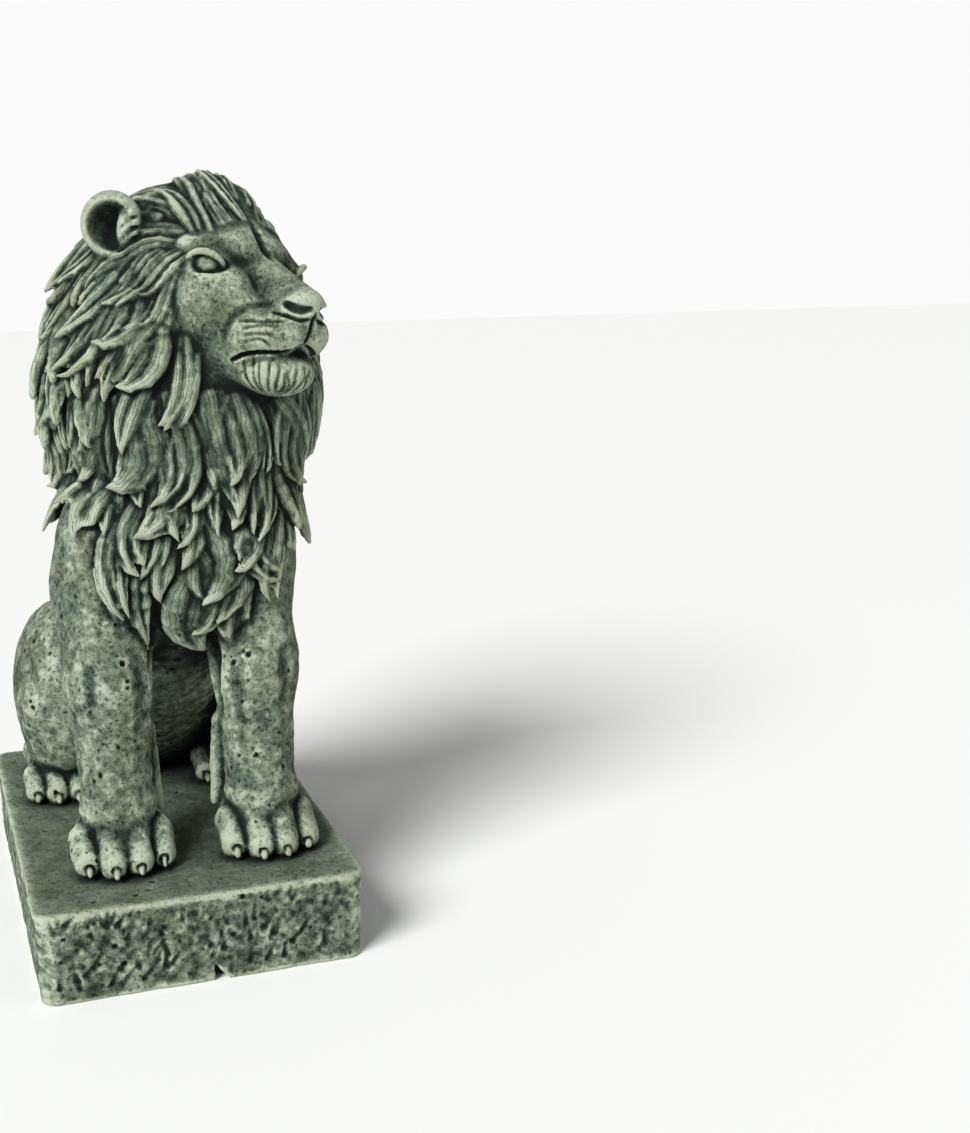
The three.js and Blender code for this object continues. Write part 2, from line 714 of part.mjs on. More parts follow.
// A level outline of the plinth: a rectangle with round corners, this far inside its top
function plinthOutline(inset, height) {
  const w = PLINTH_WIDTH / 2 - inset;
  const d = PLINTH_DEPTH / 2 - inset;
  const r = Math.max(PLINTH_CORNER - inset, 1);
  const cornerSteps = 4;
  const ring = [];
  for (let corner = 0; corner < 4; corner++) {
    const sx = corner === 0 || corner === 3 ? 1 : -1;
    const sy = corner < 2 ? 1 : -1;
    for (let i = 0; i <= cornerSteps; i++) {
      const angle = ((corner + i / cornerSteps) * Math.PI) / 2;
      ring.push([sx * (w - r) + r * Math.cos(angle), sy * (d - r) + r * Math.sin(angle), height]);
    }
  }
  return ring;
}

function plinth() {
  const rings = [
    plinthOutline(PLINTH_DRAFT + PLINTH_BEVEL, 0),
    plinthOutline(PLINTH_DRAFT, PLINTH_BEVEL),
    plinthOutline(0, PLINTH_HEIGHT - PLINTH_BEVEL),
    plinthOutline(PLINTH_BEVEL, PLINTH_HEIGHT),
  ];
  const n = rings[0].length;
  const triangles = [];
  for (let ring = 0; ring < rings.length - 1; ring++)
    for (let i = 0; i < n; i++) {
      const [a, b] = [ring * n + i, ring * n + ((i + 1) % n)];
      triangles.push([a, b, b + n], [a, b + n, a + n]);
    }
  const top = (rings.length - 1) * n;
  for (let i = 1; i < n - 1; i++) triangles.push([0, i + 1, i], [top, top + i, top + i + 1]);
  return geometryFrom(rings.flat(), triangles);
}

// The wedge that is missing from the lower front edge: upright on one side, slanted on the other
function chip() {
  const shape = new THREE.Shape([
    new THREE.Vector2(0, -1),
    new THREE.Vector2(CHIP_WIDTH, -1),
    new THREE.Vector2(CHIP_WIDTH * 0.25, CHIP_HEIGHT * 0.6),
    new THREE.Vector2(0, CHIP_HEIGHT),
  ]);
  const geometry = new THREE.ExtrudeGeometry(shape, { depth: CHIP_DEPTH * 2, bevelEnabled: false });
  geometry.rotateX(Math.PI / 2);
  geometry.translate(CHIP_FROM_MIDDLE, -PLINTH_DEPTH / 2 + CHIP_DEPTH + PLINTH_DRAFT, 0);
  return geometry;
}

function solid(wasm, geometry) {
  geometry.deleteAttribute('normal');
  geometry.deleteAttribute('uv');
  const merged = mergeVertices(geometry, 1e-4);
  return new wasm.Manifold(
    new wasm.Mesh({
      numProp: 3,
      vertProperties: merged.attributes.position.array,
      triVerts: new Uint32Array(merged.index.array),
    }),
  );
}

function geometryOf(manifold) {
  const mesh = manifold.getMesh();
  const geometry = new THREE.BufferGeometry();
  geometry.setAttribute('position', new THREE.BufferAttribute(mesh.vertProperties, mesh.numProp));
  geometry.setIndex(new THREE.BufferAttribute(mesh.triVerts, 1));
  return geometry;
}

// The lion's shape in the part's own frame
function figureGeometry() {
  const low = [-150, -190, -SEAT_DEPTH - 1.7 * GRID_STEP];
  const high = [175, 212, 602];
  const mesh = thinned(outerShell(meshField(figure(), low, high, GRID_STEP)), TRIANGLES);
  const used = new Set(mesh.triangles.flat());
  const crest = Math.max(...mesh.points.filter((_, index) => used.has(index)).map((p) => p[2]));
  const scale = FIGURE_HEIGHT / crest;
  const points = mesh.points.map((p) => add([FIGURE_OFFSET, 0, PLINTH_HEIGHT], p, scale));
  return geometryFrom(points, mesh.triangles);
}

const wasm = await Module();
wasm.setup();

const statue = solid(wasm, plinth())
  .subtract(solid(wasm, chip()))
  .add(solid(wasm, figureGeometry()));

const lion = new THREE.Mesh(geometryOf(statue), STONE);
lion.name = 'lion_statue';

const group = new THREE.Group();
group.add(lion);

export default group;
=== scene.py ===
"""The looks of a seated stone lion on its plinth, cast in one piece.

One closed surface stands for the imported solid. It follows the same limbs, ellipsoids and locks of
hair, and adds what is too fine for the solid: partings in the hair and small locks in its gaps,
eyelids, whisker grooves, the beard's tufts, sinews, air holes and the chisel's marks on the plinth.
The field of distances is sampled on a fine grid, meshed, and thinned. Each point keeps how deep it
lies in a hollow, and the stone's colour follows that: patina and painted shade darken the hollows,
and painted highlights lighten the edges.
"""

import math

import bpy
import numpy as np
import openvdb
from bpy.props import FloatProperty, FloatVectorProperty, IntProperty, PointerProperty, StringProperty
from mathutils import Euler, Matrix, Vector


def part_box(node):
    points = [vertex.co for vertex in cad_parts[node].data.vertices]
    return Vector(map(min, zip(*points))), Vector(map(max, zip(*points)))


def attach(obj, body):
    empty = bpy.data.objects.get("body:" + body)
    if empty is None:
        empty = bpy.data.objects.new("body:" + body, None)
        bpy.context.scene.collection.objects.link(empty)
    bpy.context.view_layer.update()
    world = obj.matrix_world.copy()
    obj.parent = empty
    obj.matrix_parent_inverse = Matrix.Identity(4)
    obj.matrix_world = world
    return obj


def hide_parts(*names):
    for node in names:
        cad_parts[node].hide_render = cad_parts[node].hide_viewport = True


bl_info = {
    "name": "Stone lion",
    "version": (1, 0, 0),
    "blender": (4, 5, 0),
    "location": "3D View > Sidebar > Stone lion",
    "description": "Builds a seated cast-stone lion on its plinth, and a plain stage for it",
    "category": "Object",
}

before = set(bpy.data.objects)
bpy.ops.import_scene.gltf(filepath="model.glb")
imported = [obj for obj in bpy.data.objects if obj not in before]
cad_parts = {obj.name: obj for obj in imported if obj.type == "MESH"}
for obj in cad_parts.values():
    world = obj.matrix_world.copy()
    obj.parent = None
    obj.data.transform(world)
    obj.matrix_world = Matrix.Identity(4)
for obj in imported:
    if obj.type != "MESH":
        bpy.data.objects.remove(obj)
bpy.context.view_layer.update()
NODE = "lion_statue"
MM = 0.001
BOX_LOW, BOX_HIGH = (np.array(corner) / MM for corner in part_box(NODE))

# The plinth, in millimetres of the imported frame
PLINTH_TOP = 78.0
PLINTH_WIDTH = -2 * BOX_LOW[0]
PLINTH_DEPTH = -2 * BOX_LOW[1]
PLINTH_DRAFT = 3.0
PLINTH_CORNER = 14.0
PLINTH_WEAR = 3.0
CHIP_FROM_MIDDLE = 6.0
CHIP_WIDTH = 12.0
CHIP_HEIGHT = 15.0
CHIP_DEPTH = 14.0

# The figure is drawn in units of about a millimetre, from the middle of the plinth's top
DRAWN_HEIGHT = 572.0
SCALE = (BOX_HIGH[2] - PLINTH_TOP) / DRAWN_HEIGHT
FIGURE_PLACE = np.array([8.0, 0.0, PLINTH_TOP])
SEAT_DEPTH = 6.0

HEAD_TURN = math.radians(28)
HEAD_TIP = math.radians(1)
HEAD_LEAN = math.radians(9)
BROW = np.array([67.0, -77.0, 487.0])

# Places on the head, as forward, side and up from the brow
EYE_PLACE = (5.0, 43.0, -0.5)
EAR_PLACE = (-75.0, 79.0, 27.0)
CHIN_PLACE = (48.0, 0.0, -80.0)

# The hair
LOCK_LENGTH = 98.0
LOCK_HALF_WIDTH = 19.0
LOCK_HALF_DEPTH = 9.5
LOCK_ROWS = 8
LOCKS_ROUND = 21
CREST_ROWS = 3
LOCK_STEPS = 7
RIM_HALF_WIDTH = 68.0
RIM_HALF_HEIGHT = 62.0
RIM_DROP = 20.0
RINGS = 4
RING_STEP = 16.0
RING_LOCKS = 25
RING_REACH = math.radians(140)
SMALL_LOCK = 0.68
SMALL_LOCK_SEED = 2001
RING_SEED = 700
MANE_FOOT = np.array([8.0, -40.0, 200.0])
MANE_HEAD = np.array([32.0, -6.0, 500.0])

FAR = 60.0
SIDES = (-1, 1)

# The stage, in metres
FLOOR_HALF = 6.0
KEY_PLACE = (-1.5, -1.2, 1.9)
KEY_SPREAD = math.radians(28)
KEY_POWER = 3.7
FILL_PLACE = (1.8, -1.6, 1.2)
FILL_SIZE = 1.6
FILL_POWER = 3.0
AMBIENT = 0.3
BACKDROP = 0.97
AIM = (0.0, 0.0, 0.33)


def unit(vectors):
    return vectors / np.maximum(np.linalg.norm(vectors, axis=-1, keepdims=True), 1e-9)


def smooth_step(low, high, value):
    t = np.clip((value - low) / (high - low), 0, 1)
    return t * t * (3 - 2 * t)


def chance(seed):
    """The same number between 0 and 1 for the same seed, as the solid's source has it."""
    value = np.sin(np.asarray(seed, float) * 12.9898) * 43758.5453
    return value - np.floor(value)


# The head's own frame: forward along the muzzle, side to the lion's left, and up

LEVEL = np.array([math.cos(HEAD_TURN), math.sin(HEAD_TURN), 0.0])
FORWARD = np.array([
    math.sin(HEAD_TURN) * math.cos(HEAD_TIP),
    -math.cos(HEAD_TURN) * math.cos(HEAD_TIP),
    math.sin(HEAD_TIP),
])
SIDE = LEVEL * math.cos(HEAD_LEAN) - np.cross(FORWARD, LEVEL) * math.sin(HEAD_LEAN)
UP = np.cross(FORWARD, SIDE)
HEAD_AXES = np.array([FORWARD, SIDE, UP])


def head(a, b, c):
    """A place given as forward, side and up from midway between the eyes."""
    return BROW + FORWARD * a + SIDE * b + UP * c


def in_head(points):
    return (points - BROW) @ HEAD_AXES.T


# Forms, each with its distance, the box it reaches, and how softly it melts into the rest


class Form:
    def __init__(self, distance, points, reach, melt, hollow=False):
        edge = reach + melt + 3
        self.distance = distance
        self.low = np.min(points, axis=0) - edge
        self.high = np.max(points, axis=0) + edge
        self.melt = melt
        self.hollow = hollow

    def applied(self, value, x, y, z):
        d = self.distance(x, y, z)
        return -joined(-value, d, self.melt) if self.hollow else joined(value, d, self.melt)


def joined(a, b, melt):
    h = np.maximum(melt - np.abs(a - b), 0)
    return np.minimum(a, b) - h * h / (4 * melt)


def limb(start, end, radius_start, radius_end, melt=12.0, hollow=False):
    """A rod with round ends, thicker at one end."""
    start, end = np.asarray(start, float), np.asarray(end, float)
    ax, ay, az = (end - start).tolist()
    sx, sy, sz = start.tolist()
    length2 = ax * ax + ay * ay + az * az
    taper = radius_start - radius_end
    lean = taper / math.sqrt(max(length2 - taper * taper, 1e-6)) / math.sqrt(length2)

    def distance(x, y, z):
        px, py, pz = x - sx, y - sy, z - sz
        h = px * ax + py * ay + pz * az
        square = px * px + py * py + pz * pz
        across = np.sqrt(np.maximum(square - h * h / length2, 0))
        t = np.clip(h / length2 - across * lean, 0, 1)
        gap = np.sqrt(np.maximum(square - 2 * t * h + t * t * length2, 0))
        return gap - (radius_start - taper * t)

    return Form(distance, [start, end], max(radius_start, radius_end), melt, hollow)


def ball(centre, radii, melt=12.0, axes=None, hollow=False):
    """An ellipsoid, turned to its axes where they are given."""
    cx, cy, cz = (float(v) for v in centre)
    rx, ry, rz = radii

    def distance(x, y, z):
        p = (x - cx, y - cy, z - cz)
        if axes is not None:
            p = tuple(p[0] * float(m[0]) + p[1] * float(m[1]) + p[2] * float(m[2]) for m in axes)
        near = np.sqrt((p[0] / rx) ** 2 + (p[1] / ry) ** 2 + (p[2] / rz) ** 2 + 1e-8)
        slope = np.sqrt((p[0] / rx**2) ** 2 + (p[1] / ry**2) ** 2 + (p[2] / rz**2) ** 2)
        return near * (near - 1) / np.maximum(slope, 1e-6)

    return Form(distance, [np.asarray(centre, float)], max(radii), melt, hollow)


def path_limbs(points, radii, melt, hollow=False):
    """Rods end to end through points, with a radius at each point."""
    return [
        limb(points[i], points[i + 1], radii[i], radii[i + 1], melt, hollow)
        for i in range(len(points) - 1)
    ]


def value_at(forms, points):
    """The forms' field at each of the points."""
    x, y, z = points[..., 0], points[..., 1], points[..., 2]
    value = np.full(points.shape[:-1], FAR)
    for form in forms:
        value = form.applied(value, x, y, z)
    return value


# The body, as the solid has it


def trunk():
    forms = [
        limb((2, -36, 248), (0, 30, 172), 74, 72, 20),
        limb((0, 30, 172), (0, 110, 98), 74, 78, 24),
        ball((0, 126, 84), (84, 66, 84), 20),
        ball((4, 12, 290), (78, 74, 74), 24),
    ]
    return forms + [ball((61 * s, -58, 232), (38, 50, 80), 16) for s in SIDES]


def paw(x, tip_y, spacing, radius, height):
    """Four toes with raised knuckles, each with a claw in its socket."""
    forms = []
    for toe in range(4):
        across = toe - 1.5
        outer = abs(across) > 1
        y = tip_y + (radius * 0.9 if outer else 0)
        drop = 0.85 if outer else 1
        end = np.array([x + across * (spacing + 0.8), y, radius])
        knuckle = np.array([x + across * spacing, y + radius * 1.9, height * drop])
        root = np.array([x + across * spacing * 0.6, y + radius * 4.2, height * 1.35 * drop])
        forms.append(limb(root, knuckle, radius * 0.9, radius * 1.08, 4))
        forms.append(limb(knuckle, end, radius * 1.08, radius * 0.98, 2.5))
        claw = end + (0, -radius * 0.8, -radius * 0.15)
        forms.append(ball(claw + (0, -1.5, 0), (4.8, 4.6, 4.6), 1.2, hollow=True))
        forms.append(limb(claw + (0, 4, 1), claw + (0, -radius * 0.2, -radius * 0.35), 3.6, 2.2, 0.8))
    return forms


def hind_leg(s):
    paw_x = -88 if s < 0 else 68
    return [
        ball((84 * s, 92, 94), (43, 72, 84), 12),
        limb((94 * s, 58, 96), (paw_x + 6 * s, 82, 30), 30, 22, 8),
        limb((paw_x, 74, 18), (paw_x + 8 * s, 140, 18), 23, 23, 8),
        *paw(paw_x, 42, 17, 10.5, 22),
    ]


def fore_leg(s):
    x = 61 * s
    return [
        limb((58 * s, -62, 226), (x, -92, 150), 40, 34.5, 14),
        limb((x, -92, 150), (x, -104, 52), 34.5, 28.5, 10),
        ball((67 * s, -88, 166), (28, 34, 54), 14),
        ball((x, -106, 46), (30, 27, 24), 10),
        limb((x, -104, 42), (x, -118, 24), 27, 22, 8),
        ball((x, -120, 13), (35, 28, 18), 8),
        limb((x - 26 * s, -84, 104), (x - 38 * s, -88, 34), 11, 3.5, 6),
        *paw(x, -147, 19.5, 12.2, 29),
    ]


def sinews():
    """Shallow valleys inside and outside the sinew down each foreleg, and behind the shoulder."""
    forms = []
    for s in SIDES:
        x = 61 * s
        for route, radii, melt in (
            ([(x - 25 * s, -124, 178), (x - 23 * s, -129, 116), (x - 18 * s, -136, 58)], [8, 7, 4.5], 6),
            ([(x + 22 * s, -126, 172), (x + 21 * s, -131, 110), (x + 16 * s, -137, 60)], [6, 5, 3.5], 6),
            ([(x - 36 * s, -96, 196), (x - 38 * s, -98, 150), (x - 34 * s, -100, 120)], [7, 9, 5], 8),
        ):
            forms += path_limbs(route, radii, melt, hollow=True)
    return forms


def smooth_path(points, count):
    """Points evenly spread in their own number along a soft curve through the given ones."""
    points = np.asarray(points, float)
    ends = np.vstack([2 * points[0] - points[1], points, 2 * points[-1] - points[-2]])
    t = np.linspace(0, len(points) - 1, count)
    i = np.minimum(t.astype(int), len(points) - 2)
    f = (t - i)[:, None]
    p0, p1, p2, p3 = (ends[i + k] for k in range(4))
    return 0.5 * (
        2 * p1 + (p2 - p0) * f + (2 * p0 - 5 * p1 + 4 * p2 - p3) * f**2 + (3 * p1 - p0 - 3 * p2 + p3) * f**3
    )


def tail():
    route = [(4, 178, 62), (26, 190, 24), (64, 182, 12), (98, 156, 12), (110, 118, 13), (110, 88, 15)]
    t = np.linspace(0, 1, 15)
    radii = 14 - 3 * t + 6 * smooth_step(0.75, 0.92, t)
    return path_limbs(smooth_path(route, len(t)), radii.tolist(), 5)


def mane_mass():
    return [
        ball((24, -16, 386), (113, 105, 116), 20),
        ball((17, -46, 272), (88, 74, 98), 30),
        ball((28, 0, 446), (92, 90, 88), 20),
        ball((14, 24, 322), (92, 70, 88), 24),
    ]


def skull():
    return [
        ball(head(-48, 0, 2), (66, 60, 54), 16, HEAD_AXES),
        ball(head(-20, 0, 12), (37, 46, 29), 14, HEAD_AXES),
        ball(head(-46, 0, 38), (38, 30, 36), 14, HEAD_AXES),
        ball(head(-74, 0, 26), (44, 56, 38), 16, HEAD_AXES),
    ]


def cheeks():
    forms = []
    for s in SIDES:
        forms += [
            ball(head(-8, 35 * s, -32), (44, 33, 38), 14, HEAD_AXES),
            limb(head(20, 30 * s, -18), head(-34, 50 * s, -6), 17, 22, 12),
            limb(head(44, 14 * s, -78), head(-20, 32 * s, -62), 16, 26, 10),
        ]
    return forms


def face():
    forms = cheeks() + [
        limb(head(6, 0, -8), head(66, 0, -37), 26, 22, 10),
        limb(head(14, 0, 2), head(78, 0, -25), 14, 13, 10),
        ball(head(80, 0, -27), (12, 18, 11), 5, HEAD_AXES),
        ball(head(*CHIN_PLACE), (34, 30, 20), 4, HEAD_AXES),
    ]
    for s in SIDES:
        forms += [
            ball(head(58, 14 * s, -49), (30, 17, 18.5), 8, HEAD_AXES),
            ball(head(47, 23 * s, -51), (26, 17, 17.5), 9, HEAD_AXES),
            ball(head(26, 28 * s, -34), (26, 16, 19), 12, HEAD_AXES),
            ball(head(22, 28 * s, -56), (29, 17, 22), 12, HEAD_AXES),
            limb(head(10, 15 * s, 14), head(-10, 50 * s, 13), 12, 8, 11),
            ball(head(21, 45 * s, 1), (6, 12, 8), 5, HEAD_AXES, hollow=True),
        ]
    return forms


def ears():
    """Cupped ears with a round rim, open towards the front, with a comb of hair inside the inner rim."""
    forms = []
    for s in SIDES:
        facing = unit(FORWARD * 0.8 + SIDE * 0.6 * s)
        across = unit(np.cross(facing, UP)) * -s
        inner = unit(-SIDE * s + facing * float(SIDE @ facing) * s)
        axes = np.array([facing, across, UP])
        at = head(EAR_PLACE[0], EAR_PLACE[1] * s, EAR_PLACE[2])
        forms += [
            ball(at, (17, 25, 27), 6, axes),
            ball(at + facing * 13 - inner * 1 - UP * 3, (20, 19, 21), 3, axes, hollow=True),
            ball(at + facing * 1 + inner * 13 - UP * 3, (9, 9, 19), 5, axes),
        ]
        for k in range(4):
            root = at + inner * 20 + facing * 9 + UP * (17 - 9 * k)
            tip = at + inner * (4 + k) + facing * 7 + UP * (6 - 10 * k)
            bend = (root + tip) / 2 + facing * 3.5 + UP * 2
            route = smooth_path([root, bend, tip], 6)
            forms += path_limbs(route, [1.4, 1.8, 2.0, 1.9, 1.6, 1.2], 1.5, hollow=True)
    return forms


# What only the fine surface has on the face


def laid(forms, points, deep=0.0):
    """The points moved onto the forms' surface, or this deep under it."""
    p = np.array(points, float)
    for _ in range(5):
        p = p - slope_at(forms, p) * (value_at(forms, p) + deep)[:, None]
    return p


def crease(skin, places, width, deep, melt=1.5):
    """A groove that a round tool of this width cuts along the skin, fading out at both ends."""
    route = smooth_path([head(*place) for place in places], 3 * len(places))
    fade = 0.35 + 0.65 * np.sin(np.pi * np.linspace(0.04, 0.96, len(route))) ** 0.6
    return path_limbs(laid(skin, route, deep - width), (width * fade).tolist(), melt, hollow=True)


def eye(s):
    """Lids that wrap the eyeball and part in an almond, with a tear duct at the inner corner."""
    centre = head(EYE_PLACE[0], EYE_PLACE[1] * s, EYE_PLACE[2])
    gaze = unit(FORWARD * 0.68 + SIDE * 0.72 * s + UP * 0.04)
    out = unit(SIDE * s - gaze * float(gaze @ SIDE) * s)
    out = unit(out + 0.16 * UP)
    over = unit(np.cross(gaze, out))
    over = over * np.sign(over @ UP)
    axes = np.array([gaze, out, over])
    turn = np.radians(np.linspace(-84, 84, 13))
    wave = np.cos(turn)

    def arch(forward, bulge, wide, tall, drop):
        line = centre + gaze * forward + np.outer(bulge * wave, gaze)
        return line + np.outer(wide * np.sin(turn), out) + np.outer(tall * wave - drop, over)

    upper = path_limbs(arch(5.0, 8.5, 15.0, 10.2, 1.0), (1.0 + 1.4 * wave).tolist(), 2.0)
    lower = path_limbs(arch(6.0, 5.0, 13.5, -9.6, 0.5), (0.8 + 0.4 * wave).tolist(), 2.5)
    duct = centre + gaze * 9 - out * 11 - over * 2
    tear = limb(duct, centre + gaze * 8 - out * 18 - over * 6, 2.4, 1.2, 2, hollow=True)
    return [
        ball(centre, (11.8, 16.0, 13.0), 9, axes),
        ball(centre + gaze * 13.0, (5.4, 13.5, 9.4), 1.5, axes, hollow=True),
        tear,
        ball(centre - over * 0.5 - out * 1.5, (13.6, 11.8, 11.8), 0.8, axes),
        *upper,
        *lower,
    ]


def face_lines():
    """Lids, nostrils, whisker grooves, the line of the mouth, folds and the beard's tufts."""
    skin = skull() + face()
    forms = []
    for s in SIDES:
        forms += eye(s)
        beside_nose = [(24, 26 * s, -13), (32, 22 * s, -19), (40, 20 * s, -24)]
        nostril = [(92, 5 * s, -29), (89, 12 * s, -31), (82, 18 * s, -29), (74, 21 * s, -25)]
        under_nose = [(90, 3 * s, -37), (82, 14 * s, -39), (68, 24 * s, -35)]
        forms += crease(skin, beside_nose, 1.5, 1.0)
        forms += crease(skin, nostril, 3.6, 4.6)
        forms += crease(skin, under_nose, 1.7, 2.0)
        for k in range(4):
            c = -40 - 5.6 * k
            back = 44 + 9 * chance(k + 0.6)
            places = [(80 - 4 * k, 24 * s, c), (66, 36 * s, c - 1 + 2 * chance(k)), (back, 41 * s, c - 3)]
            forms += crease(skin, places, 1.1 + 0.6 * chance(k + 4.2), 1.3)
        mouth = [
            (87, 2 * s, -63), (80, 14 * s, -66), (66, 28 * s, -68), (50, 35 * s, -70), (38, 38 * s, -75),
        ]
        fold = [(62, 28 * s, -24), (48, 36 * s, -33), (38, 41 * s, -46), (34, 41 * s, -60)]
        forms += crease(skin, mouth, 2.2, 3.6)
        forms += crease(skin, fold, 3.0, 0.7, 4)
        for k in range(8):
            angle = math.radians(4 + 12 * k + 7 * chance(k + 0.7 * s)) * s
            nudge = 6.0 * (chance(k + 0.3 * s) - 0.5)
            top = -70 - 5 * chance(k + 9.0 * s)
            low = -96 - 6 * chance(k + 5.0 * s)
            ahead, aside = math.cos(angle), math.sin(angle)
            tuft = [
                (CHIN_PLACE[0] + 36 * ahead, 32 * aside, top),
                (CHIN_PLACE[0] + 36 * ahead, 32 * aside + nudge, top - 10),
                (CHIN_PLACE[0] + 29 * ahead, 26 * aside - nudge * 0.6, (top + low) / 2 - 5),
                (CHIN_PLACE[0] + 20 * ahead, 18 * aside + nudge * 0.6, low),
            ]
            forms += crease(skin, tuft, 0.8 + 0.8 * chance(k + 2.0 * s), 1.2)
    forehead = [(4, 0, 34), (12, 0, 24), (24, 0, 12), (34, 0, 4)]
    lip_cleft = [(93, 0, -32), (91, 0, -46), (86, 0, -62)]
    forms += crease(skin, forehead, 2.6, 1.6, 4)
    forms += crease(skin, lip_cleft, 1.8, 2.4)
    return forms


# Locks of hair, grown over the mass of the mane


def slope_at(forms, points):
    e = 1.5
    slopes = [
        value_at(forms, points + e * axis) - value_at(forms, points - e * axis) for axis in np.eye(3)
    ]
    return unit(np.stack(slopes, axis=-1))


def rim_forward(theta):
    """How far forward the edge of the face lies, from the brow (0) round to the jaw (pi)."""
    up = np.cos(theta)
    return -11 + 12 * np.maximum(up, 0) + 32 * np.maximum(-up, 0) ** 1.5


def round_face(points):
    """The angle round the face, the share of the rim's radius, and the distance forward."""
    a, b, c = in_head(points).T
    across, up = b / RIM_HALF_WIDTH, (c + RIM_DROP) / RIM_HALF_HEIGHT
    return np.arctan2(across, up), np.hypot(across, up), a


def hair_flow(p, lean):
    """Out and back from the face, then down, and in towards the breastbone at the bottom."""
    from_face = p - head(-30, 0, -22)
    outward = unit(from_face - (from_face @ FORWARD)[:, None] * FORWARD)
    near = np.clip(1.55 - np.linalg.norm(from_face, axis=1) / 105, 0, 1)
    over_brow = near * smooth_step(0.0, 0.8, outward @ UP)
    down = (0.85 + 0.4 * (1 - near)) * (1 - over_brow)
    inward = -0.55 * (p[:, 0] / 80) * (1 - smooth_step(220, 310, p[:, 2]))
    way = (outward - 0.55 * FORWARD) * near[:, None]
    way[:, 0] += inward + lean * (1 - 0.6 * near)
    way[:, 2] -= down
    return unit(way)


def grow_spines(mass, roots, length, lean, curl, depth, lift):
    """The spines of all locks at once: their points and the normals under them."""
    p = roots.copy()
    points, normals = [], []
    for i in range(LOCK_STEPS + 1):
        t = i / LOCK_STEPS
        normal = slope_at(mass, p)
        p = p - normal * value_at(mass, p)[:, None]
        flow = hair_flow(p, lean)
        flat = unit(flow - np.sum(flow * normal, axis=1, keepdims=True) * normal)
        angle = (curl * (2.0 * t * t + 0.3 * t - 0.75))[:, None]
        way = flat * np.cos(angle) + np.cross(normal, flat) * np.sin(angle)
        points.append(p + normal * (depth * (1.1 * t - 0.45) + lift * t**3)[:, None])
        normals.append(normal)
        p = p + way * (length / LOCK_STEPS)[:, None]
    return np.stack(points, axis=1), np.stack(normals, axis=1)


def lock(spine, normals, half_width, half_depth, strands, seed, groove):
    """A flame-shaped lock about its spine, parted by uneven grooves into strands of uneven length."""
    parts = []
    for i in range(LOCK_STEPS):
        along = spine[i + 1] - spine[i]
        across = unit(np.cross(along, normals[i]))
        parts.append((spine[i].tolist(), along.tolist(), across.tolist(), float(along @ along)))
    sway = 1.3 * (chance(seed + 0.37) - 0.5)
    tilt = 0.9 * (chance(seed + 0.53) - 0.5)
    phase = 2 * math.pi * chance(seed + 0.71)

    def measure(x, y, z):
        best = None
        for i, (start, along, across, length2) in enumerate(parts):
            px, py, pz = x - start[0], y - start[1], z - start[2]
            s = np.clip((px * along[0] + py * along[1] + pz * along[2]) / length2, 0, 1)
            qx, qy, qz = px - along[0] * s, py - along[1] * s, pz - along[2] * s
            t = (i + s) / LOCK_STEPS
            w = np.maximum(half_width * (1 - t * t) ** 0.8 * (0.66 + 1.05 * t), 1.8)
            u = qx * across[0] + qy * across[1] + qz * across[2]
            share = np.clip(u / w, -1, 1)
            h = np.maximum(half_depth * np.sqrt(1 - t * t) * (0.75 + 0.45 * t), 1.2) * (1 + tilt * share)
            v2 = np.maximum(qx * qx + qy * qy + qz * qz - u * u, 0)
            ring = np.sqrt((u / w) ** 2 + v2 / (h * h) + 1e-8)
            slope = np.sqrt((u / (w * w)) ** 2 + v2 / (h * h * h * h))
            d = ring * (ring - 1) / np.maximum(slope, 1e-6)
            turn = (share + 1 + sway * t) * (strands * math.pi / 2)
            vary = 0.5 + 0.5 * np.sin(0.8 * turn + phase)
            parting = (1 - np.abs(np.sin(turn))) * groove * (0.5 + 0.9 * vary)
            ragged = np.maximum(t - 0.58 - 0.38 * vary, 0) * (1.3 * half_width)
            d = d + parting * np.clip(0.4 + t * 3, 0, 1) * np.clip((1 - t) * 4, 0.3, 1) + ragged
            if best is None:
                best, best_share = d, share
            else:
                best_share = np.where(d < best, share, best_share)
                best = np.minimum(best, d)
        return best, best_share

    form = Form(lambda x, y, z: measure(x, y, z)[0], spine, half_width, 1.0)
    form.measure = measure
    return form


def surface_along(mass, start, ray):
    """The outermost point of the mass on each ray, how far along it lies, and whether there is one."""
    reach = np.arange(180, 20, -4.0)
    values = value_at(mass, start[:, None] + ray[:, None] * reach[None, :, None])
    hit = values < 0
    found = hit.any(axis=1)
    first = hit.argmax(axis=1)
    inside = reach[first]
    outside = np.where(first > 0, inside + 4, inside)
    for _ in range(5):
        middle = (inside + outside) / 2
        within = value_at(mass, start + ray * middle[:, None]) < 0
        inside = np.where(within, middle, inside)
        outside = np.where(within, outside, middle)
    return start + ray * inside[:, None], inside, found


def hair_grows(p, azimuth):
    """Whether the rows of the mane reach here: not on the face, its rings of hair, or the ears."""
    theta, share, a = round_face(p)
    _, b, c = in_head(p).T
    in_rings = (share < 1.95) & (np.abs(theta) < RING_REACH)
    in_rings &= a > rim_forward(theta) - RING_STEP * (RINGS - 0.4)
    on_chin = (a > 40) & (c > -118)
    under_jaw = (np.abs(theta) >= RING_REACH) & (a > 8) & (c > -84)
    by_ear = (a > -94) & (a < -46) & (np.abs(np.abs(b) - 79) < 22) & (c > 2)
    lowest = 240 + 125 * smooth_step(0.25, 1.3, np.abs(azimuth))
    return ~in_rings & ~on_chin & ~under_jaw & ~by_ear & (p[:, 2] > lowest)


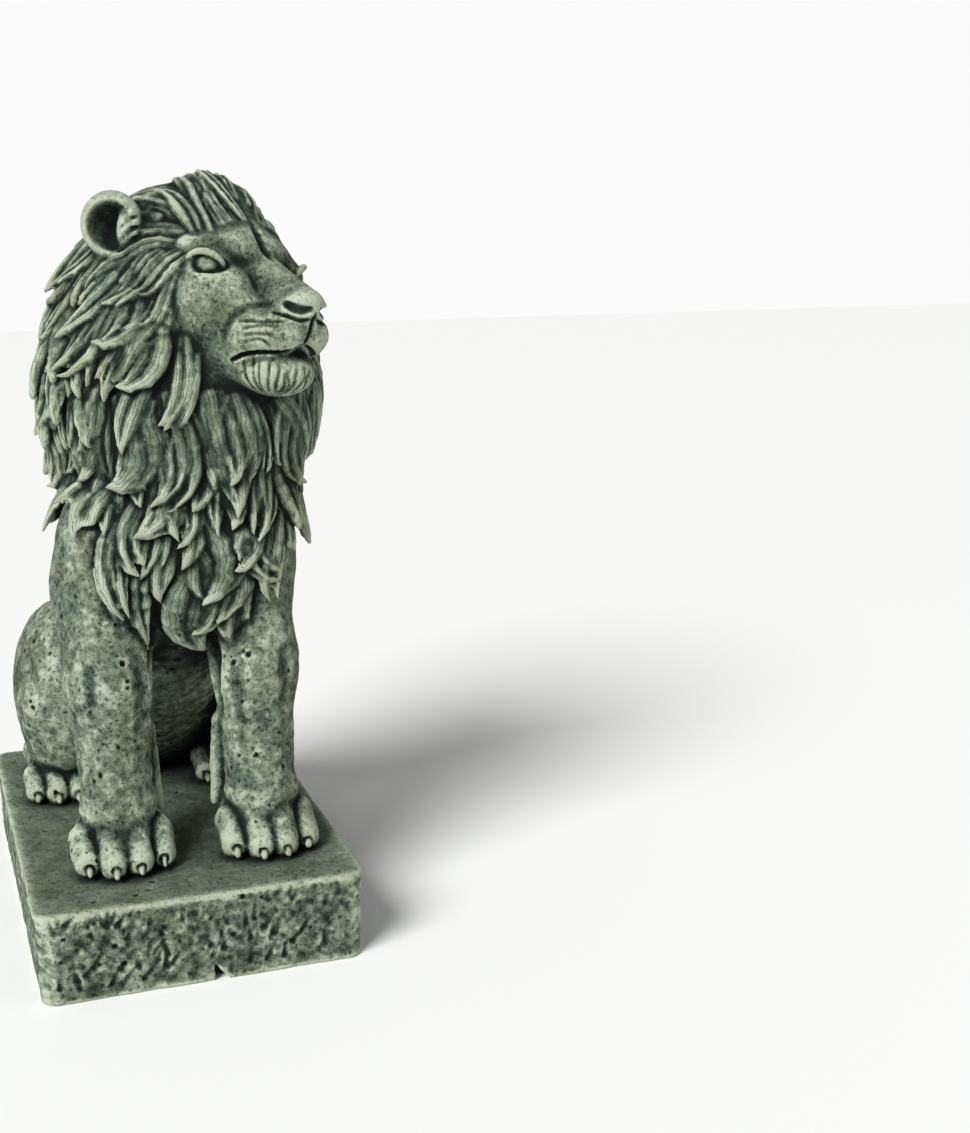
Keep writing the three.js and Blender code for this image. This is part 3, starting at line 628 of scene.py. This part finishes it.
def mane_roots(mass, first, size):
    """Roots in staggered rows round the neck and over the crest, with each lock's seed and size."""
    seeds, azimuths, starts, rays = [], [], [], []
    for row in range(LOCK_ROWS + CREST_ROWS):
        share_up = min(row / (LOCK_ROWS - 1), 1) * 0.86 + 0.14
        axis = MANE_FOOT * (1 - share_up) + MANE_HEAD * share_up
        climb = max(row - LOCK_ROWS + 1, 0) * 0.42
        count = math.floor(LOCKS_ROUND * math.cos(climb) + 0.5) + 1
        for i in range(count):
            seed = first + row * 31 + i
            share = (i + 0.5 * ((row + first) % 2) + 0.5 * (chance(seed) - 0.5)) / count
            azimuth = share * 2 * math.pi - math.pi
            level = math.cos(climb)
            rays.append((math.sin(azimuth) * level, -math.cos(azimuth) * level, math.sin(climb)))
            seeds.append(seed)
            azimuths.append(azimuth)
            starts.append(axis + (0, 0, 14 * (chance(seed + 0.15) - 0.5) - 24 * (1 - size)))
    seeds, azimuths = np.array(seeds, float), np.array(azimuths)
    roots, _, found = surface_along(mass, np.array(starts), np.array(rays))
    keep = found & hair_grows(roots, azimuths)
    sizes = np.full(int(keep.sum()), size)
    return roots[keep], seeds[keep], sizes, np.ones(len(sizes)), np.sin(azimuths[keep])


def ring_roots(mass):
    """Roots in rings about the face: short tufts at its edge, longer locks farther back."""
    seeds, thetas, starts, rays, sizes = [], [], [], [], []
    for ring in range(RINGS):
        count = RING_LOCKS - 3 * ring
        for i in range(count):
            seed = RING_SEED + ring * 41 + i
            share = (i + 0.5 * (ring % 2) + 0.5 * (chance(seed) - 0.5)) / (count - 0.5)
            theta = (share * 2 - 1) * RING_REACH
            way = SIDE * (RIM_HALF_WIDTH * math.sin(theta)) + UP * (RIM_HALF_HEIGHT * math.cos(theta))
            starts.append(head(rim_forward(theta) - RING_STEP * ring, 0, -RIM_DROP))
            rays.append(unit(way))
            seeds.append(seed)
            thetas.append(theta)
            sizes.append(0.7 + 0.42 * ring / (RINGS - 1))
    seeds, thetas, sizes = np.array(seeds, float), np.array(thetas), np.array(sizes)
    roots, reach, found = surface_along(mass, np.array(starts), np.array(rays))
    keep = found & (reach < 1.7 * RIM_HALF_WIDTH)
    a, b, c = in_head(roots).T
    keep &= ~((a > -94) & (a < -46) & (np.abs(np.abs(b) - 79) < 20) & (c > 4))
    crest = smooth_step(1.1, 0.6, np.abs(thetas))
    stretch = 1 + 0.45 * crest
    side = np.sin(thetas) * (1 - crest) * 0.8
    return roots[keep], seeds[keep], sizes[keep], stretch[keep], side[keep]


def locks(mass, groove):
    """The small locks in the gaps of the mane, its large locks, and the rings about the face."""
    forms = []
    for roots, seeds, size, stretch, side in (
        mane_roots(mass, SMALL_LOCK_SEED, SMALL_LOCK), mane_roots(mass, 0, 1.0), ring_roots(mass)
    ):
        length = LOCK_LENGTH * size * stretch * (0.8 + 0.4 * chance(seeds + 0.3))
        half_width = LOCK_HALF_WIDTH * size * (0.85 + 0.4 * chance(seeds + 0.6)) / stretch
        lean = 0.25 * side + 0.7 * (chance(seeds + 0.8) - 0.5)
        swing = chance(seeds + 0.45) - 0.5
        curl = (1.5 * swing + 0.3 * np.sign(swing) + 0.3 * side) * np.minimum(size, 1 / stretch**2)
        lift = (5 + 9 * chance(seeds + 0.7)) * size * size
        half_depth = LOCK_HALF_DEPTH * size**0.8
        spines, normals = grow_spines(mass, roots, length, lean, curl, half_depth, lift)
        for i in range(len(roots)):
            strands = 2 + int((0.8 + 1.7 * size[i]) * chance(seeds[i] + 0.9))
            forms.append(lock(
                spines[i], normals[i], half_width[i], half_depth[i], strands, seeds[i], groove
            ))
    return forms


# The field on a grid


class Field:
    """Distances on a regular grid in the frame's millimetres, negative inside the stone."""

    def __init__(self, low, high, step):
        self.low = np.asarray(low, float)
        self.step = step
        self.shape = tuple(np.ceil((np.asarray(high) - self.low) / step).astype(int) + 1)
        self.values = np.full(self.shape, FAR, np.float32)

    def window(self, low, high):
        """The part of the grid between two corners, and the three open rows of its coordinates."""
        first = np.clip(np.ceil((low - self.low) / self.step).astype(int), 0, self.shape)
        last = np.clip(np.floor((high - self.low) / self.step).astype(int) + 1, 0, self.shape)
        part = tuple(slice(a, b) for a, b in zip(first, last))
        rows = [
            (self.low[i] + self.step * np.arange(first[i], last[i])).astype(np.float32) for i in range(3)
        ]
        return part, np.ix_(*rows)

    def add(self, form):
        """Joins or carves one form of the figure."""
        part, (x, y, z) = self.window(FIGURE_PLACE + form.low * SCALE, FIGURE_PLACE + form.high * SCALE)
        if self.values[part].size == 0:
            return
        x, y, z = ((v - np.float32(o)) / np.float32(SCALE) for v, o in zip((x, y, z), FIGURE_PLACE))
        self.values[part] = form.applied(self.values[part], x, y, z)


def sampled(values, low, step, points):
    """A grid's values at points, between its eight nearest cells."""
    at = (points - low) / step
    cell = np.clip(np.floor(at).astype(int), 0, np.array(values.shape) - 2)
    f = np.clip(at - cell, 0, 1).astype(np.float32)
    total = 0
    for corner in np.ndindex(2, 2, 2):
        weight = np.prod(np.where(corner, f, 1 - f), axis=1)
        total = total + weight * values[tuple((cell + corner).T)]
    return total


def lumps(x, y, z, size, seed):
    """Soft noise between -1 and 1 on open rows of coordinates, with lumps of about this size."""
    lattice = np.random.default_rng(seed).uniform(-1, 1, (32, 32, 32)).astype(np.float32)
    for axis, row in enumerate((x, y, z)):
        at = row.ravel() / size
        cell = np.floor(at).astype(int)
        f = (at - cell).astype(np.float32)
        f = f * f * (3 - 2 * f)
        shape = [1, 1, 1]
        shape[axis] = -1
        f = f.reshape(shape)
        lattice = np.take(lattice, cell % 32, axis) * (1 - f) + np.take(lattice, (cell + 1) % 32, axis) * f
    return lattice


def blurred(values, cells):
    """The mean over a cube that reaches this many cells each way."""
    for axis in range(3):
        padded = np.pad(values, [(cells + 1, cells) if a == axis else (0, 0) for a in range(3)], "edge")
        total = np.cumsum(padded, axis=axis, dtype=np.float32)
        size = 2 * cells + 1
        upper = np.take(total, range(size, total.shape[axis]), axis)
        lower = np.take(total, range(0, total.shape[axis] - size), axis)
        values = (upper - lower) / size
    return values


def plinth_distance(x, y, z):
    """A block with draft, rounded upright corners and worn edges."""
    inset = PLINTH_DRAFT * (1 - z / PLINTH_TOP)
    qx = np.abs(x) - (PLINTH_WIDTH / 2 - PLINTH_CORNER - inset)
    qy = np.abs(y) - (PLINTH_DEPTH / 2 - PLINTH_CORNER - inset)
    outside = np.sqrt(np.maximum(qx, 0) ** 2 + np.maximum(qy, 0) ** 2)
    level = outside + np.minimum(np.maximum(qx, qy), 0) - PLINTH_CORNER
    worn = PLINTH_WEAR
    upright = np.abs(z - PLINTH_TOP / 2) - PLINTH_TOP / 2
    a, b = level + worn, upright + worn
    return np.sqrt(np.maximum(a, 0) ** 2 + np.maximum(b, 0) ** 2) + np.minimum(np.maximum(a, b), 0) - worn


def add_plinth(field, roughness):
    part, (x, y, z) = field.window(
        np.array([-PLINTH_WIDTH / 2 - 4, -PLINTH_DEPTH / 2 - 4, -4]),
        np.array([PLINTH_WIDTH / 2 + 4, PLINTH_DEPTH / 2 + 4, PLINTH_TOP + 3]),
    )
    block = plinth_distance(x, y, z)
    on_side = 1 - smooth_step(PLINTH_TOP - 8, PLINTH_TOP, z)
    tooling = (0.5 + 0.5 * lumps(x, y, z, 10, 11)) ** 2 + 0.35 * lumps(x, y, z, 4.5, 12)
    broad = 0.5 + 0.5 * lumps(x, y, z, 34, 13)
    rough = roughness * (1.7 * tooling + 0.9 * broad)
    rough = rough * (0.25 + 0.75 * on_side) * np.clip(z / 3, 0, 1)
    block = block + rough
    chip_x = x - CHIP_FROM_MIDDLE
    slant = z - CHIP_HEIGHT * (1 - chip_x / CHIP_WIDTH)
    chip_y = y + PLINTH_DEPTH / 2 - CHIP_DEPTH
    notch = np.maximum(np.maximum(slant * 0.6, -chip_x), chip_y * 0.7)
    block = np.maximum(block, -notch + 0.6 * lumps(x, y, z, 5, 14))
    field.values[part] = joined(field.values[part], block, 3.0)


def chisel_marks(count, seed):
    """Short slanting strokes of a point chisel on the plinth's four sides, in the figure's frame."""
    draw = np.random.default_rng(seed)
    forms = []
    for _ in range(count):
        along = draw.uniform(-1, 1)
        turned = draw.random() < 0.62
        level = draw.uniform(8, PLINTH_TOP - 8)
        side = 1 if draw.random() < 0.5 else -1
        half_run, half_out = PLINTH_WIDTH / 2, PLINTH_DEPTH / 2
        if turned:
            half_run, half_out = half_out, half_run
        run = along * (half_run - 14)
        out = side * (half_out - PLINTH_DRAFT * (1 - level / PLINTH_TOP) + 0.5)
        length = draw.uniform(6, 16)
        slant = draw.uniform(-0.3, 0.9)
        ends = [(run, out, level), (run + length * slant, out, level + length)]
        if turned:
            ends = [(b, a, c) for a, b, c in ends]
        ends = [(np.array(end) - FIGURE_PLACE) / SCALE for end in ends]
        forms.append(limb(ends[0], ends[1], draw.uniform(2.2, 3.6), 1.3, 1.2, hollow=True))
    return forms


def add_holes(field, count, low, high, seed):
    """Air holes in the casting's skin, between two corners."""
    draw = np.random.default_rng(seed)
    part, _ = field.window(np.array(low, float), np.array(high, float))
    near = np.argwhere(np.abs(field.values[part]) < 0.5 * field.step)
    if len(near) == 0:
        return
    first = np.array([s.start for s in part])
    for cell in near[draw.integers(0, len(near), count)]:
        centre = field.low + (first + cell) * field.step
        radius = 0.8 + 1.9 * draw.random() ** 3
        squash = 0.7 + 0.6 * draw.random()
        hole, (x, y, z) = field.window(centre - radius * 2, centre + radius * 2)
        d = np.sqrt((x - centre[0]) ** 2 + (y - centre[1]) ** 2 + ((z - centre[2]) * squash) ** 2) - radius
        field.values[hole] = -joined(-field.values[hole], d, 0.6)


def cast_field(settings):
    """The whole statue's field."""
    step = settings.grain / MM
    field = Field(BOX_LOW - 4 * step, BOX_HIGH + 4 * step, step)
    mass = trunk() + mane_mass() + skull() + cheeks()
    coat = trunk()
    for s in SIDES:
        coat += hind_leg(s) + fore_leg(s)
    for form in coat + tail() + sinews():
        field.add(form)
    part, (x, y, z) = field.window(BOX_LOW, np.array([BOX_HIGH[0], BOX_HIGH[1], 360.0]))
    skin = 0.9 * lumps(x, y, z, 24, 21) + 0.6 * lumps(x, y, z, 9, 22) + 0.3 * lumps(x, y, z, 4.5, 23)
    field.values[part] += settings.coat_roughness / MM * skin
    hair = locks(mass, settings.groove_depth / MM)
    for form in mane_mass() + skull() + face() + hair + ears() + face_lines():
        field.add(form)
    part, (x, y, z) = field.window(BOX_LOW - 3 * step, BOX_HIGH + 3 * step)
    seat = np.float32(PLINTH_TOP - SEAT_DEPTH) - z
    field.values[part] = np.maximum(field.values[part], seat)
    add_plinth(field, settings.plinth_roughness / MM)
    for form in chisel_marks(settings.chisel_marks, 51):
        field.add(form)
    add_holes(field, settings.holes, (-140, -200, 82), (140, 200, 300), 31)
    add_holes(field, settings.holes // 3, (-140, -208, 4), (140, 208, 78), 32)
    part, (x, y, z) = field.window(BOX_LOW - 4 * step, BOX_HIGH + 4 * step)
    trim = np.maximum(BOX_LOW[0] - x, x - BOX_HIGH[0])
    trim = np.maximum(trim, np.maximum(BOX_LOW[1] - y, y - BOX_HIGH[1]))
    trim = np.maximum(trim, np.maximum(BOX_LOW[2] - z, z - BOX_HIGH[2])).astype(np.float32)
    field.values[part] = np.maximum(field.values[part], trim + 0.05)
    return field, hair


def largest_shell(points, triangles):
    """Leaves out loose crumbs and sealed pockets."""
    owner = np.arange(len(points))
    edges = np.vstack([triangles[:, :2], triangles[:, 1:]])
    while True:
        least = np.minimum(owner[edges[:, 0]], owner[edges[:, 1]])
        before = owner.copy()
        np.minimum.at(owner, edges[:, 0], least)
        np.minimum.at(owner, edges[:, 1], least)
        owner = owner[owner]
        if np.array_equal(owner, before):
            break
    kinds, counts = np.unique(owner[triangles[:, 0]], return_counts=True)
    triangles = triangles[owner[triangles[:, 0]] == kinds[counts.argmax()]]
    used, flat = np.unique(triangles, return_inverse=True)
    return points[used], flat.reshape(-1, 3)


def mesh_from(name, points, triangles):
    mesh = bpy.data.meshes.new(name)
    mesh.vertices.add(len(points))
    mesh.vertices.foreach_set("co", points.astype(np.float32).ravel())
    mesh.loops.add(triangles.size)
    mesh.loops.foreach_set("vertex_index", triangles.astype(np.int32).ravel())
    mesh.polygons.add(len(triangles))
    mesh.polygons.foreach_set("loop_start", np.arange(0, triangles.size, 3, dtype=np.int32))
    mesh.update(calc_edges=True)
    return mesh


def statue_mesh(field, most):
    """The field's surface, thinned to at most so many triangles."""
    grid = openvdb.FloatGrid(FAR)
    grid.copyFromArray(np.ascontiguousarray(field.values))
    points, triangles, quads = grid.convertToPolygons(0.0, 0.0)
    split = np.vstack([quads[:, [0, 1, 2]], quads[:, [0, 2, 3]]])
    triangles = np.vstack([triangles.reshape(-1, 3), split]).astype(np.int64)
    points, triangles = largest_shell(points, triangles)
    corners = points[triangles]
    volume = np.sum(np.cross(corners[:, 0], corners[:, 1]) * corners[:, 2])
    if volume < 0:
        triangles = triangles[:, ::-1]
    places = (field.low + points * field.step) * MM
    full = bpy.data.objects.new("lion_full", mesh_from("lion_full", places, triangles))
    bpy.context.scene.collection.objects.link(full)
    if len(triangles) > most:
        thin = full.modifiers.new("thin", "DECIMATE")
        thin.ratio = most / len(triangles)
    evaluated = full.evaluated_get(bpy.context.evaluated_depsgraph_get())
    mesh = bpy.data.meshes.new_from_object(evaluated)
    bpy.data.objects.remove(full)
    return mesh


def keep_on_points(mesh, name, values):
    mesh.attributes.new(name, "FLOAT", "POINT").data.foreach_set("value", values.astype(np.float32))


def points_of(mesh):
    places = np.empty(len(mesh.vertices) * 3, np.float32)
    mesh.vertices.foreach_get("co", places)
    return places.reshape(-1, 3).astype(float) / MM


def keep_hollows(mesh, field):
    """Writes how hollow the stone is at each point: 0 on a flat, 1 in a pit, below 0 on an edge.

    It also writes the plinth's top as a ledge, and its lowest band as a foot.
    """
    places = points_of(mesh)
    stone = np.clip(0.5 - field.values / field.step, 0, 1)
    coarse = stone[::3, ::3, ::3]
    # The stone's colour reads these masks as painted shade in hollows, creases and between the legs, and as
    # painted highlights on edges, besides its patina
    for name, reach, values, step, least in (
        ("hollow_fine", 3.0, stone, field.step, -1.0),
        ("hollow_lock", 10.0, stone, field.step, -0.35),
        ("hollow_wide", 26.0, coarse, field.step * 3, 0.0),
        ("hollow_room", 80.0, coarse, field.step * 3, 0.0),
    ):
        cells = max(int(round(reach / step / 2)), 1)
        soft = blurred(blurred(values, cells), cells)
        hollow = 2 * sampled(soft, field.low, step, places) - 1
        keep_on_points(mesh, name, np.maximum(hollow, least))
    keep_on_points(mesh, "ledge", smooth_step(4.0, 1.0, np.abs(places[:, 2] - PLINTH_TOP)))
    keep_on_points(mesh, "foot", smooth_step(30.0, 6.0, places[:, 2]))


def keep_strands(mesh, hair):
    """Writes where each point lies across its lock of hair, and whether it lies on one at all."""
    places = (points_of(mesh) - FIGURE_PLACE) / SCALE
    nearest = np.full(len(places), 2.5)
    share = np.zeros(len(places))
    for form in hair:
        inside = np.flatnonzero(np.all((places > form.low) & (places < form.high), axis=1))
        if len(inside) == 0:
            continue
        d, across = form.measure(*places[inside].T)
        closer = d < nearest[inside]
        nearest[inside[closer]] = d[closer]
        share[inside[closer]] = across[closer]
    keep_on_points(mesh, "strand", share)
    keep_on_points(mesh, "haired", (nearest < 2.4).astype(float))


# Materials


def linear(colour):
    """An sRGB hex value as linear red, green, blue and alpha."""
    values = [int(colour[i : i + 2], 16) / 255 for i in (1, 3, 5)]
    return (*((v / 12.92 if v <= 0.04045 else ((v + 0.055) / 1.055) ** 2.4) for v in values), 1.0)


def node(tree, kind, settings=None, links=None):
    """Adds a node, sets its values by socket or property name, and links its inputs."""
    made = tree.nodes.new(kind)
    for name, value in (settings or {}).items():
        if isinstance(name, int) or name in made.inputs:
            made.inputs[name].default_value = value
        else:
            setattr(made, name, value)
    for name, source in (links or {}).items():
        tree.links.new(source, made.inputs[name])
    return made


def ramp(tree, source, stops):
    """A smooth change of value or colour over stops of (place, hex colour or number)."""
    made = node(tree, "ShaderNodeValToRGB", links={"Fac": source})
    elements = made.color_ramp.elements
    while len(elements) < len(stops):
        elements.new(0.5)
    for element, (place, value) in zip(elements, stops):
        element.position = place
        element.color = linear(value) if isinstance(value, str) else (value, value, value, 1)
    return made.outputs["Color"]


def cast_stone_material(settings):
    """Cast stone: cement and crushed stone poured in a mould, then stained dark and rubbed back.

    It is matt and rough. It is near white-green where it is rubbed or bleached and, as painted highlight,
    on its edges and ridges; it is green-black where the stain and years of algae lie in the hollows,
    darkened further there by painted shade.
    """
    material = bpy.data.materials.new("cast_stone")
    material.use_nodes = True
    tree = material.node_tree
    tree.nodes.clear()
    place = node(tree, "ShaderNodeTexCoord").outputs["Object"]

    def hollow(name):
        return node(tree, "ShaderNodeAttribute", {"attribute_name": name}).outputs["Fac"]

    def cloud(size_mm, detail=4.0, rough=0.6):
        return node(
            tree, "ShaderNodeTexNoise", {"Scale": 1 / (size_mm * MM), "Detail": detail, "Roughness": rough},
            {"Vector": place},
        ).outputs["Fac"]

    def math_node(operation, links, values=None):
        return node(tree, "ShaderNodeMath", {"operation": operation, **(values or {})}, links).outputs[0]

    def sum_of(parts, offset=0.0):
        total = None
        for source, weight in parts:
            term = math_node("MULTIPLY", {0: source}, {1: weight})
            if total is None:
                total = math_node("ADD", {0: term}, {1: offset})
            else:
                total = math_node("ADD", {0: total, 1: term})
        return total

    def product(first, second):
        return math_node("MULTIPLY", {0: first, 1: second})

    grain = cloud(1.2, 3.0, 0.7)
    blotch = cloud(26.0, 5.0, 0.62)
    speckle = cloud(5.0, 5.0, 0.72)
    pits = ramp(tree, cloud(3.4, 3.0, 0.6), [(0.56, 0.0), (0.70, 1.0)])
    haired = hollow("haired")
    phase = sum_of([(hollow("strand"), 4.5 * math.pi), (cloud(14.0, 2.0), 6.0)])
    wave = math_node("SINE", {0: phase})
    bow = math_node("ABSOLUTE", {0: wave})
    # Painted shade: the grooves between strands of hair are darkened in the colour, besides being cut in by
    # the bump
    strands = product(ramp(tree, bow, [(0.0, 1.0), (0.5, 0.0)]), haired)
    bare = math_node("SUBTRACT", {1: haired}, {0: 1.0})
    bare_pits = product(pits, bare)
    mottle = product(cloud(10.0, 6.0, 0.78), bare)
    # Painted shade and painted highlight: the hollow masks darken pits, creases, gaps between locks and the
    # room between the legs, and lighten edges and ridges, along with the stain in the hollows
    depth = sum_of(
        [
            (hollow("hollow_fine"), 1.35),
            (hollow("hollow_lock"), 0.95),
            (hollow("hollow_wide"), 0.6),
            (hollow("hollow_room"), 0.85),
            (blotch, 0.75),
            (speckle, 0.62),
            (grain, 0.3),
            (mottle, 0.4),
            (bare, -0.27),
            (bare_pits, 0.25),
            (hollow("ledge"), -0.05),
            (hollow("foot"), 0.12),
            (strands, 0.16),
        ],
        -0.29,
    )
    evenness = sum_of([(hollow("ledge"), -0.5)], 1.0)
    depth = sum_of([(product(sum_of([(depth, 1.0)], -0.5), evenness), 1.0)], 0.5)
    # Pale is rubbed stone and painted highlight on edges and ridges; deep and dark are stain and painted
    # shade in the hollows
    colour = ramp(tree, depth, [
        (0.08, settings.pale),
        (0.34, settings.light),
        (0.56, settings.middle),
        (0.78, settings.deep),
        (1.0, settings.dark),
    ])
    warm = ramp(tree, cloud(46.0, 4.0), [(0.46, 0.0), (0.66, 0.55)])
    tinted = node(
        tree, "ShaderNodeMix", {"data_type": "RGBA", "blend_type": "MULTIPLY", 7: linear(settings.tint)},
        {0: warm, 6: colour},
    )
    rough = ramp(tree, depth, [(0.0, 0.86), (1.0, 0.98)])
    height = sum_of([
        (grain, 0.35),
        (cloud(3.0, 4.0, 0.65), 0.9),
        (cloud(9.0, 3.0), 0.8),
        (bare_pits, -0.9),
        (strands, -0.6),
    ])
    bump = node(tree, "ShaderNodeBump", {"Strength": 0.9, "Distance": 1.1 * MM}, {"Height": height})
    shader = node(
        tree, "ShaderNodeBsdfPrincipled", {"Metallic": 0.0, "IOR": 1.5, "Specular IOR Level": 0.3},
        {"Base Color": tinted.outputs[2], "Roughness": rough, "Normal": bump.outputs["Normal"]},
    )
    node(tree, "ShaderNodeOutputMaterial", links={"Surface": shader.outputs["BSDF"]})
    return material


def plain_material(name, colour, roughness):
    material = bpy.data.materials.new(name)
    material.use_nodes = True
    shader = material.node_tree.nodes["Principled BSDF"]
    shader.inputs["Base Color"].default_value = linear(colour)
    shader.inputs["Roughness"].default_value = roughness
    return material


# Settings


def relief(name, description, default, least=0.0):
    return FloatProperty(
        name=name, description=description, default=default, min=least, max=0.01, precision=5,
        unit="LENGTH", subtype="DISTANCE",
    )


def colour(name, description, default):
    return StringProperty(name=name, description=description + ", as sRGB hex", default=default)


class LionSettings(bpy.types.PropertyGroup):
    grain: relief("Grid step", "Spacing of the grid that the carving is drawn on", 0.0014, 0.001)
    triangles: IntProperty(
        name="Triangles", description="Most triangles in the statue's surface", default=196000, min=10000,
    )
    groove_depth: relief("Groove depth", "Depth of the grooves between strands of hair", 0.0018)
    coat_roughness: relief("Coat roughness", "Height of the lumps in the skin of the body and legs", 0.0011)
    plinth_roughness: relief("Plinth roughness", "Depth of the tooling on the plinth's sides", 0.0011)
    chisel_marks: IntProperty(
        name="Chisel marks", description="Strokes of the chisel on the plinth's sides", default=420, min=0,
    )
    holes: IntProperty(name="Air holes", description="Air holes in the legs and body", default=700, min=0)
    # pale also serves as painted highlight on edges and ridges
    pale: colour("Rubbed edges and highlights", "Colour of rubbed edges and painted highlights", "#B0B9A5")
    light: colour("Light stone", "Colour of raised stone", "#76816F")
    middle: colour("Stone", "Colour of flat stone", "#4A564A")
    # deep and dark also serve as painted shade in hollows, creases and between the legs
    deep: colour("Stain and painted shade", "Colour of stained stone and painted shade", "#212B25")
    dark: colour("Hollows", "Colour of the deepest hollows", "#0B100E")
    tint: colour("Brown tint", "Tint of the old stain", "#CFC9AE")


class StageSettings(bpy.types.PropertyGroup):
    camera_place: FloatVectorProperty(
        name="Camera place", description="Where the photograph was taken from",
        default=(-0.2112, -1.4273, 0.6366), size=3, unit="LENGTH", subtype="TRANSLATION",
    )
    camera_pitch: FloatProperty(
        name="Camera pitch", description="How far the camera looks down",
        default=math.radians(13.246), unit="ROTATION", subtype="ANGLE",
    )
    camera_yaw: FloatProperty(
        name="Camera yaw", description="How far the camera is turned from +Y towards +X",
        default=math.radians(20.224), unit="ROTATION", subtype="ANGLE",
    )
    lens: FloatProperty(
        name="Lens", description="Focal length on a 36 mm frame", default=52.03, unit="CAMERA",
    )
    floor_colour: colour("Floor", "Colour of the floor", "#F4F5F3")


# Operators


def link(name, data):
    made = bpy.data.objects.new(name, data)
    bpy.context.scene.collection.objects.link(made)
    return made


class LION_OT_statue(bpy.types.Operator):
    """Builds the lion and its plinth as one surface of cast stone"""

    bl_idname = "stone_lion.statue"
    bl_label = "Lion and plinth"

    def execute(self, context):
        settings = context.scene.stone_lion
        field, hair = cast_field(settings)
        mesh = statue_mesh(field, settings.triangles)
        mesh.name = "stone_lion"
        keep_hollows(mesh, field)
        keep_strands(mesh, hair)
        mesh.shade_smooth()
        mesh.materials.clear()
        mesh.materials.append(cast_stone_material(settings))
        lion = link("stone_lion", mesh)
        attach(lion, "root")
        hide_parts(NODE)
        return {"FINISHED"}


class LION_OT_stage(bpy.types.Operator):
    """Builds the floor, the soft lights and the camera of the photograph"""

    bl_idname = "stone_lion.stage"
    bl_label = "Floor, lights and camera"

    def execute(self, context):
        settings = context.scene.stone_lion_stage
        half = FLOOR_HALF
        ground = bpy.data.meshes.new("floor")
        corners = [(-half, -half, 0), (half, -half, 0), (half, half, 0), (-half, half, 0)]
        ground.from_pydata(corners, [], [(0, 1, 2, 3)])
        ground.materials.append(plain_material("matt_paper", settings.floor_colour, 0.9))
        link("floor", ground)
        self.light("key", "SUN", KEY_PLACE, KEY_SPREAD, KEY_POWER)
        self.light("fill", "AREA", FILL_PLACE, FILL_SIZE, FILL_POWER)
        world = bpy.data.worlds.new("studio")
        world.use_nodes = True
        tree = world.node_tree
        tree.nodes["Background"].inputs["Color"].default_value = (1, 1, 1, 1)
        seen = node(tree, "ShaderNodeLightPath").outputs["Is Camera Ray"]
        levels = {"To Min": AMBIENT, "To Max": BACKDROP}
        strength = node(tree, "ShaderNodeMapRange", levels, {"Value": seen})
        tree.links.new(strength.outputs["Result"], tree.nodes["Background"].inputs["Strength"])
        context.scene.world = world
        context.scene.view_settings.view_transform = "Standard"
        self.camera(context, settings)
        return {"FINISHED"}

    def light(self, name, kind, place, spread, power):
        lamp = bpy.data.lights.new(name, kind)
        if kind == "SUN":
            lamp.angle = spread
        else:
            lamp.size = spread
        lamp.energy = power
        made = link(name, lamp)
        made.location = place
        aim = Vector(AIM) - Vector(place)
        made.rotation_euler = aim.to_track_quat("-Z", "Y").to_euler()

    def camera(self, context, settings):
        data = bpy.data.cameras.new("camera")
        data.lens = settings.lens
        data.sensor_width = 36
        made = link("camera", data)
        made.location = settings.camera_place
        made.rotation_euler = Euler((math.pi / 2 - settings.camera_pitch, 0, -settings.camera_yaw), "XYZ")
        context.scene.camera = made


class LION_PT_panel(bpy.types.Panel):
    """The statue's sizes, colours and buttons"""

    bl_idname = "LION_PT_panel"
    bl_label = "Stone lion"
    bl_space_type = "VIEW_3D"
    bl_region_type = "UI"
    bl_category = "Stone lion"

    def draw(self, context):
        for settings, operator in (
            (context.scene.stone_lion, LION_OT_statue),
            (context.scene.stone_lion_stage, LION_OT_stage),
        ):
            box = self.layout.box()
            for name in settings.__annotations__:
                box.prop(settings, name)
            box.operator(operator.bl_idname)


CLASSES = (LionSettings, StageSettings, LION_OT_statue, LION_OT_stage, LION_PT_panel)


def register():
    for cls in CLASSES:
        bpy.utils.register_class(cls)
    bpy.types.Scene.stone_lion = PointerProperty(type=LionSettings)
    bpy.types.Scene.stone_lion_stage = PointerProperty(type=StageSettings)


def unregister():
    del bpy.types.Scene.stone_lion_stage
    del bpy.types.Scene.stone_lion
    for cls in reversed(CLASSES):
        bpy.utils.unregister_class(cls)


def main():
    register()
    bpy.ops.stone_lion.statue()
    bpy.ops.stone_lion.stage()


if __name__ == "__main__":
    main()
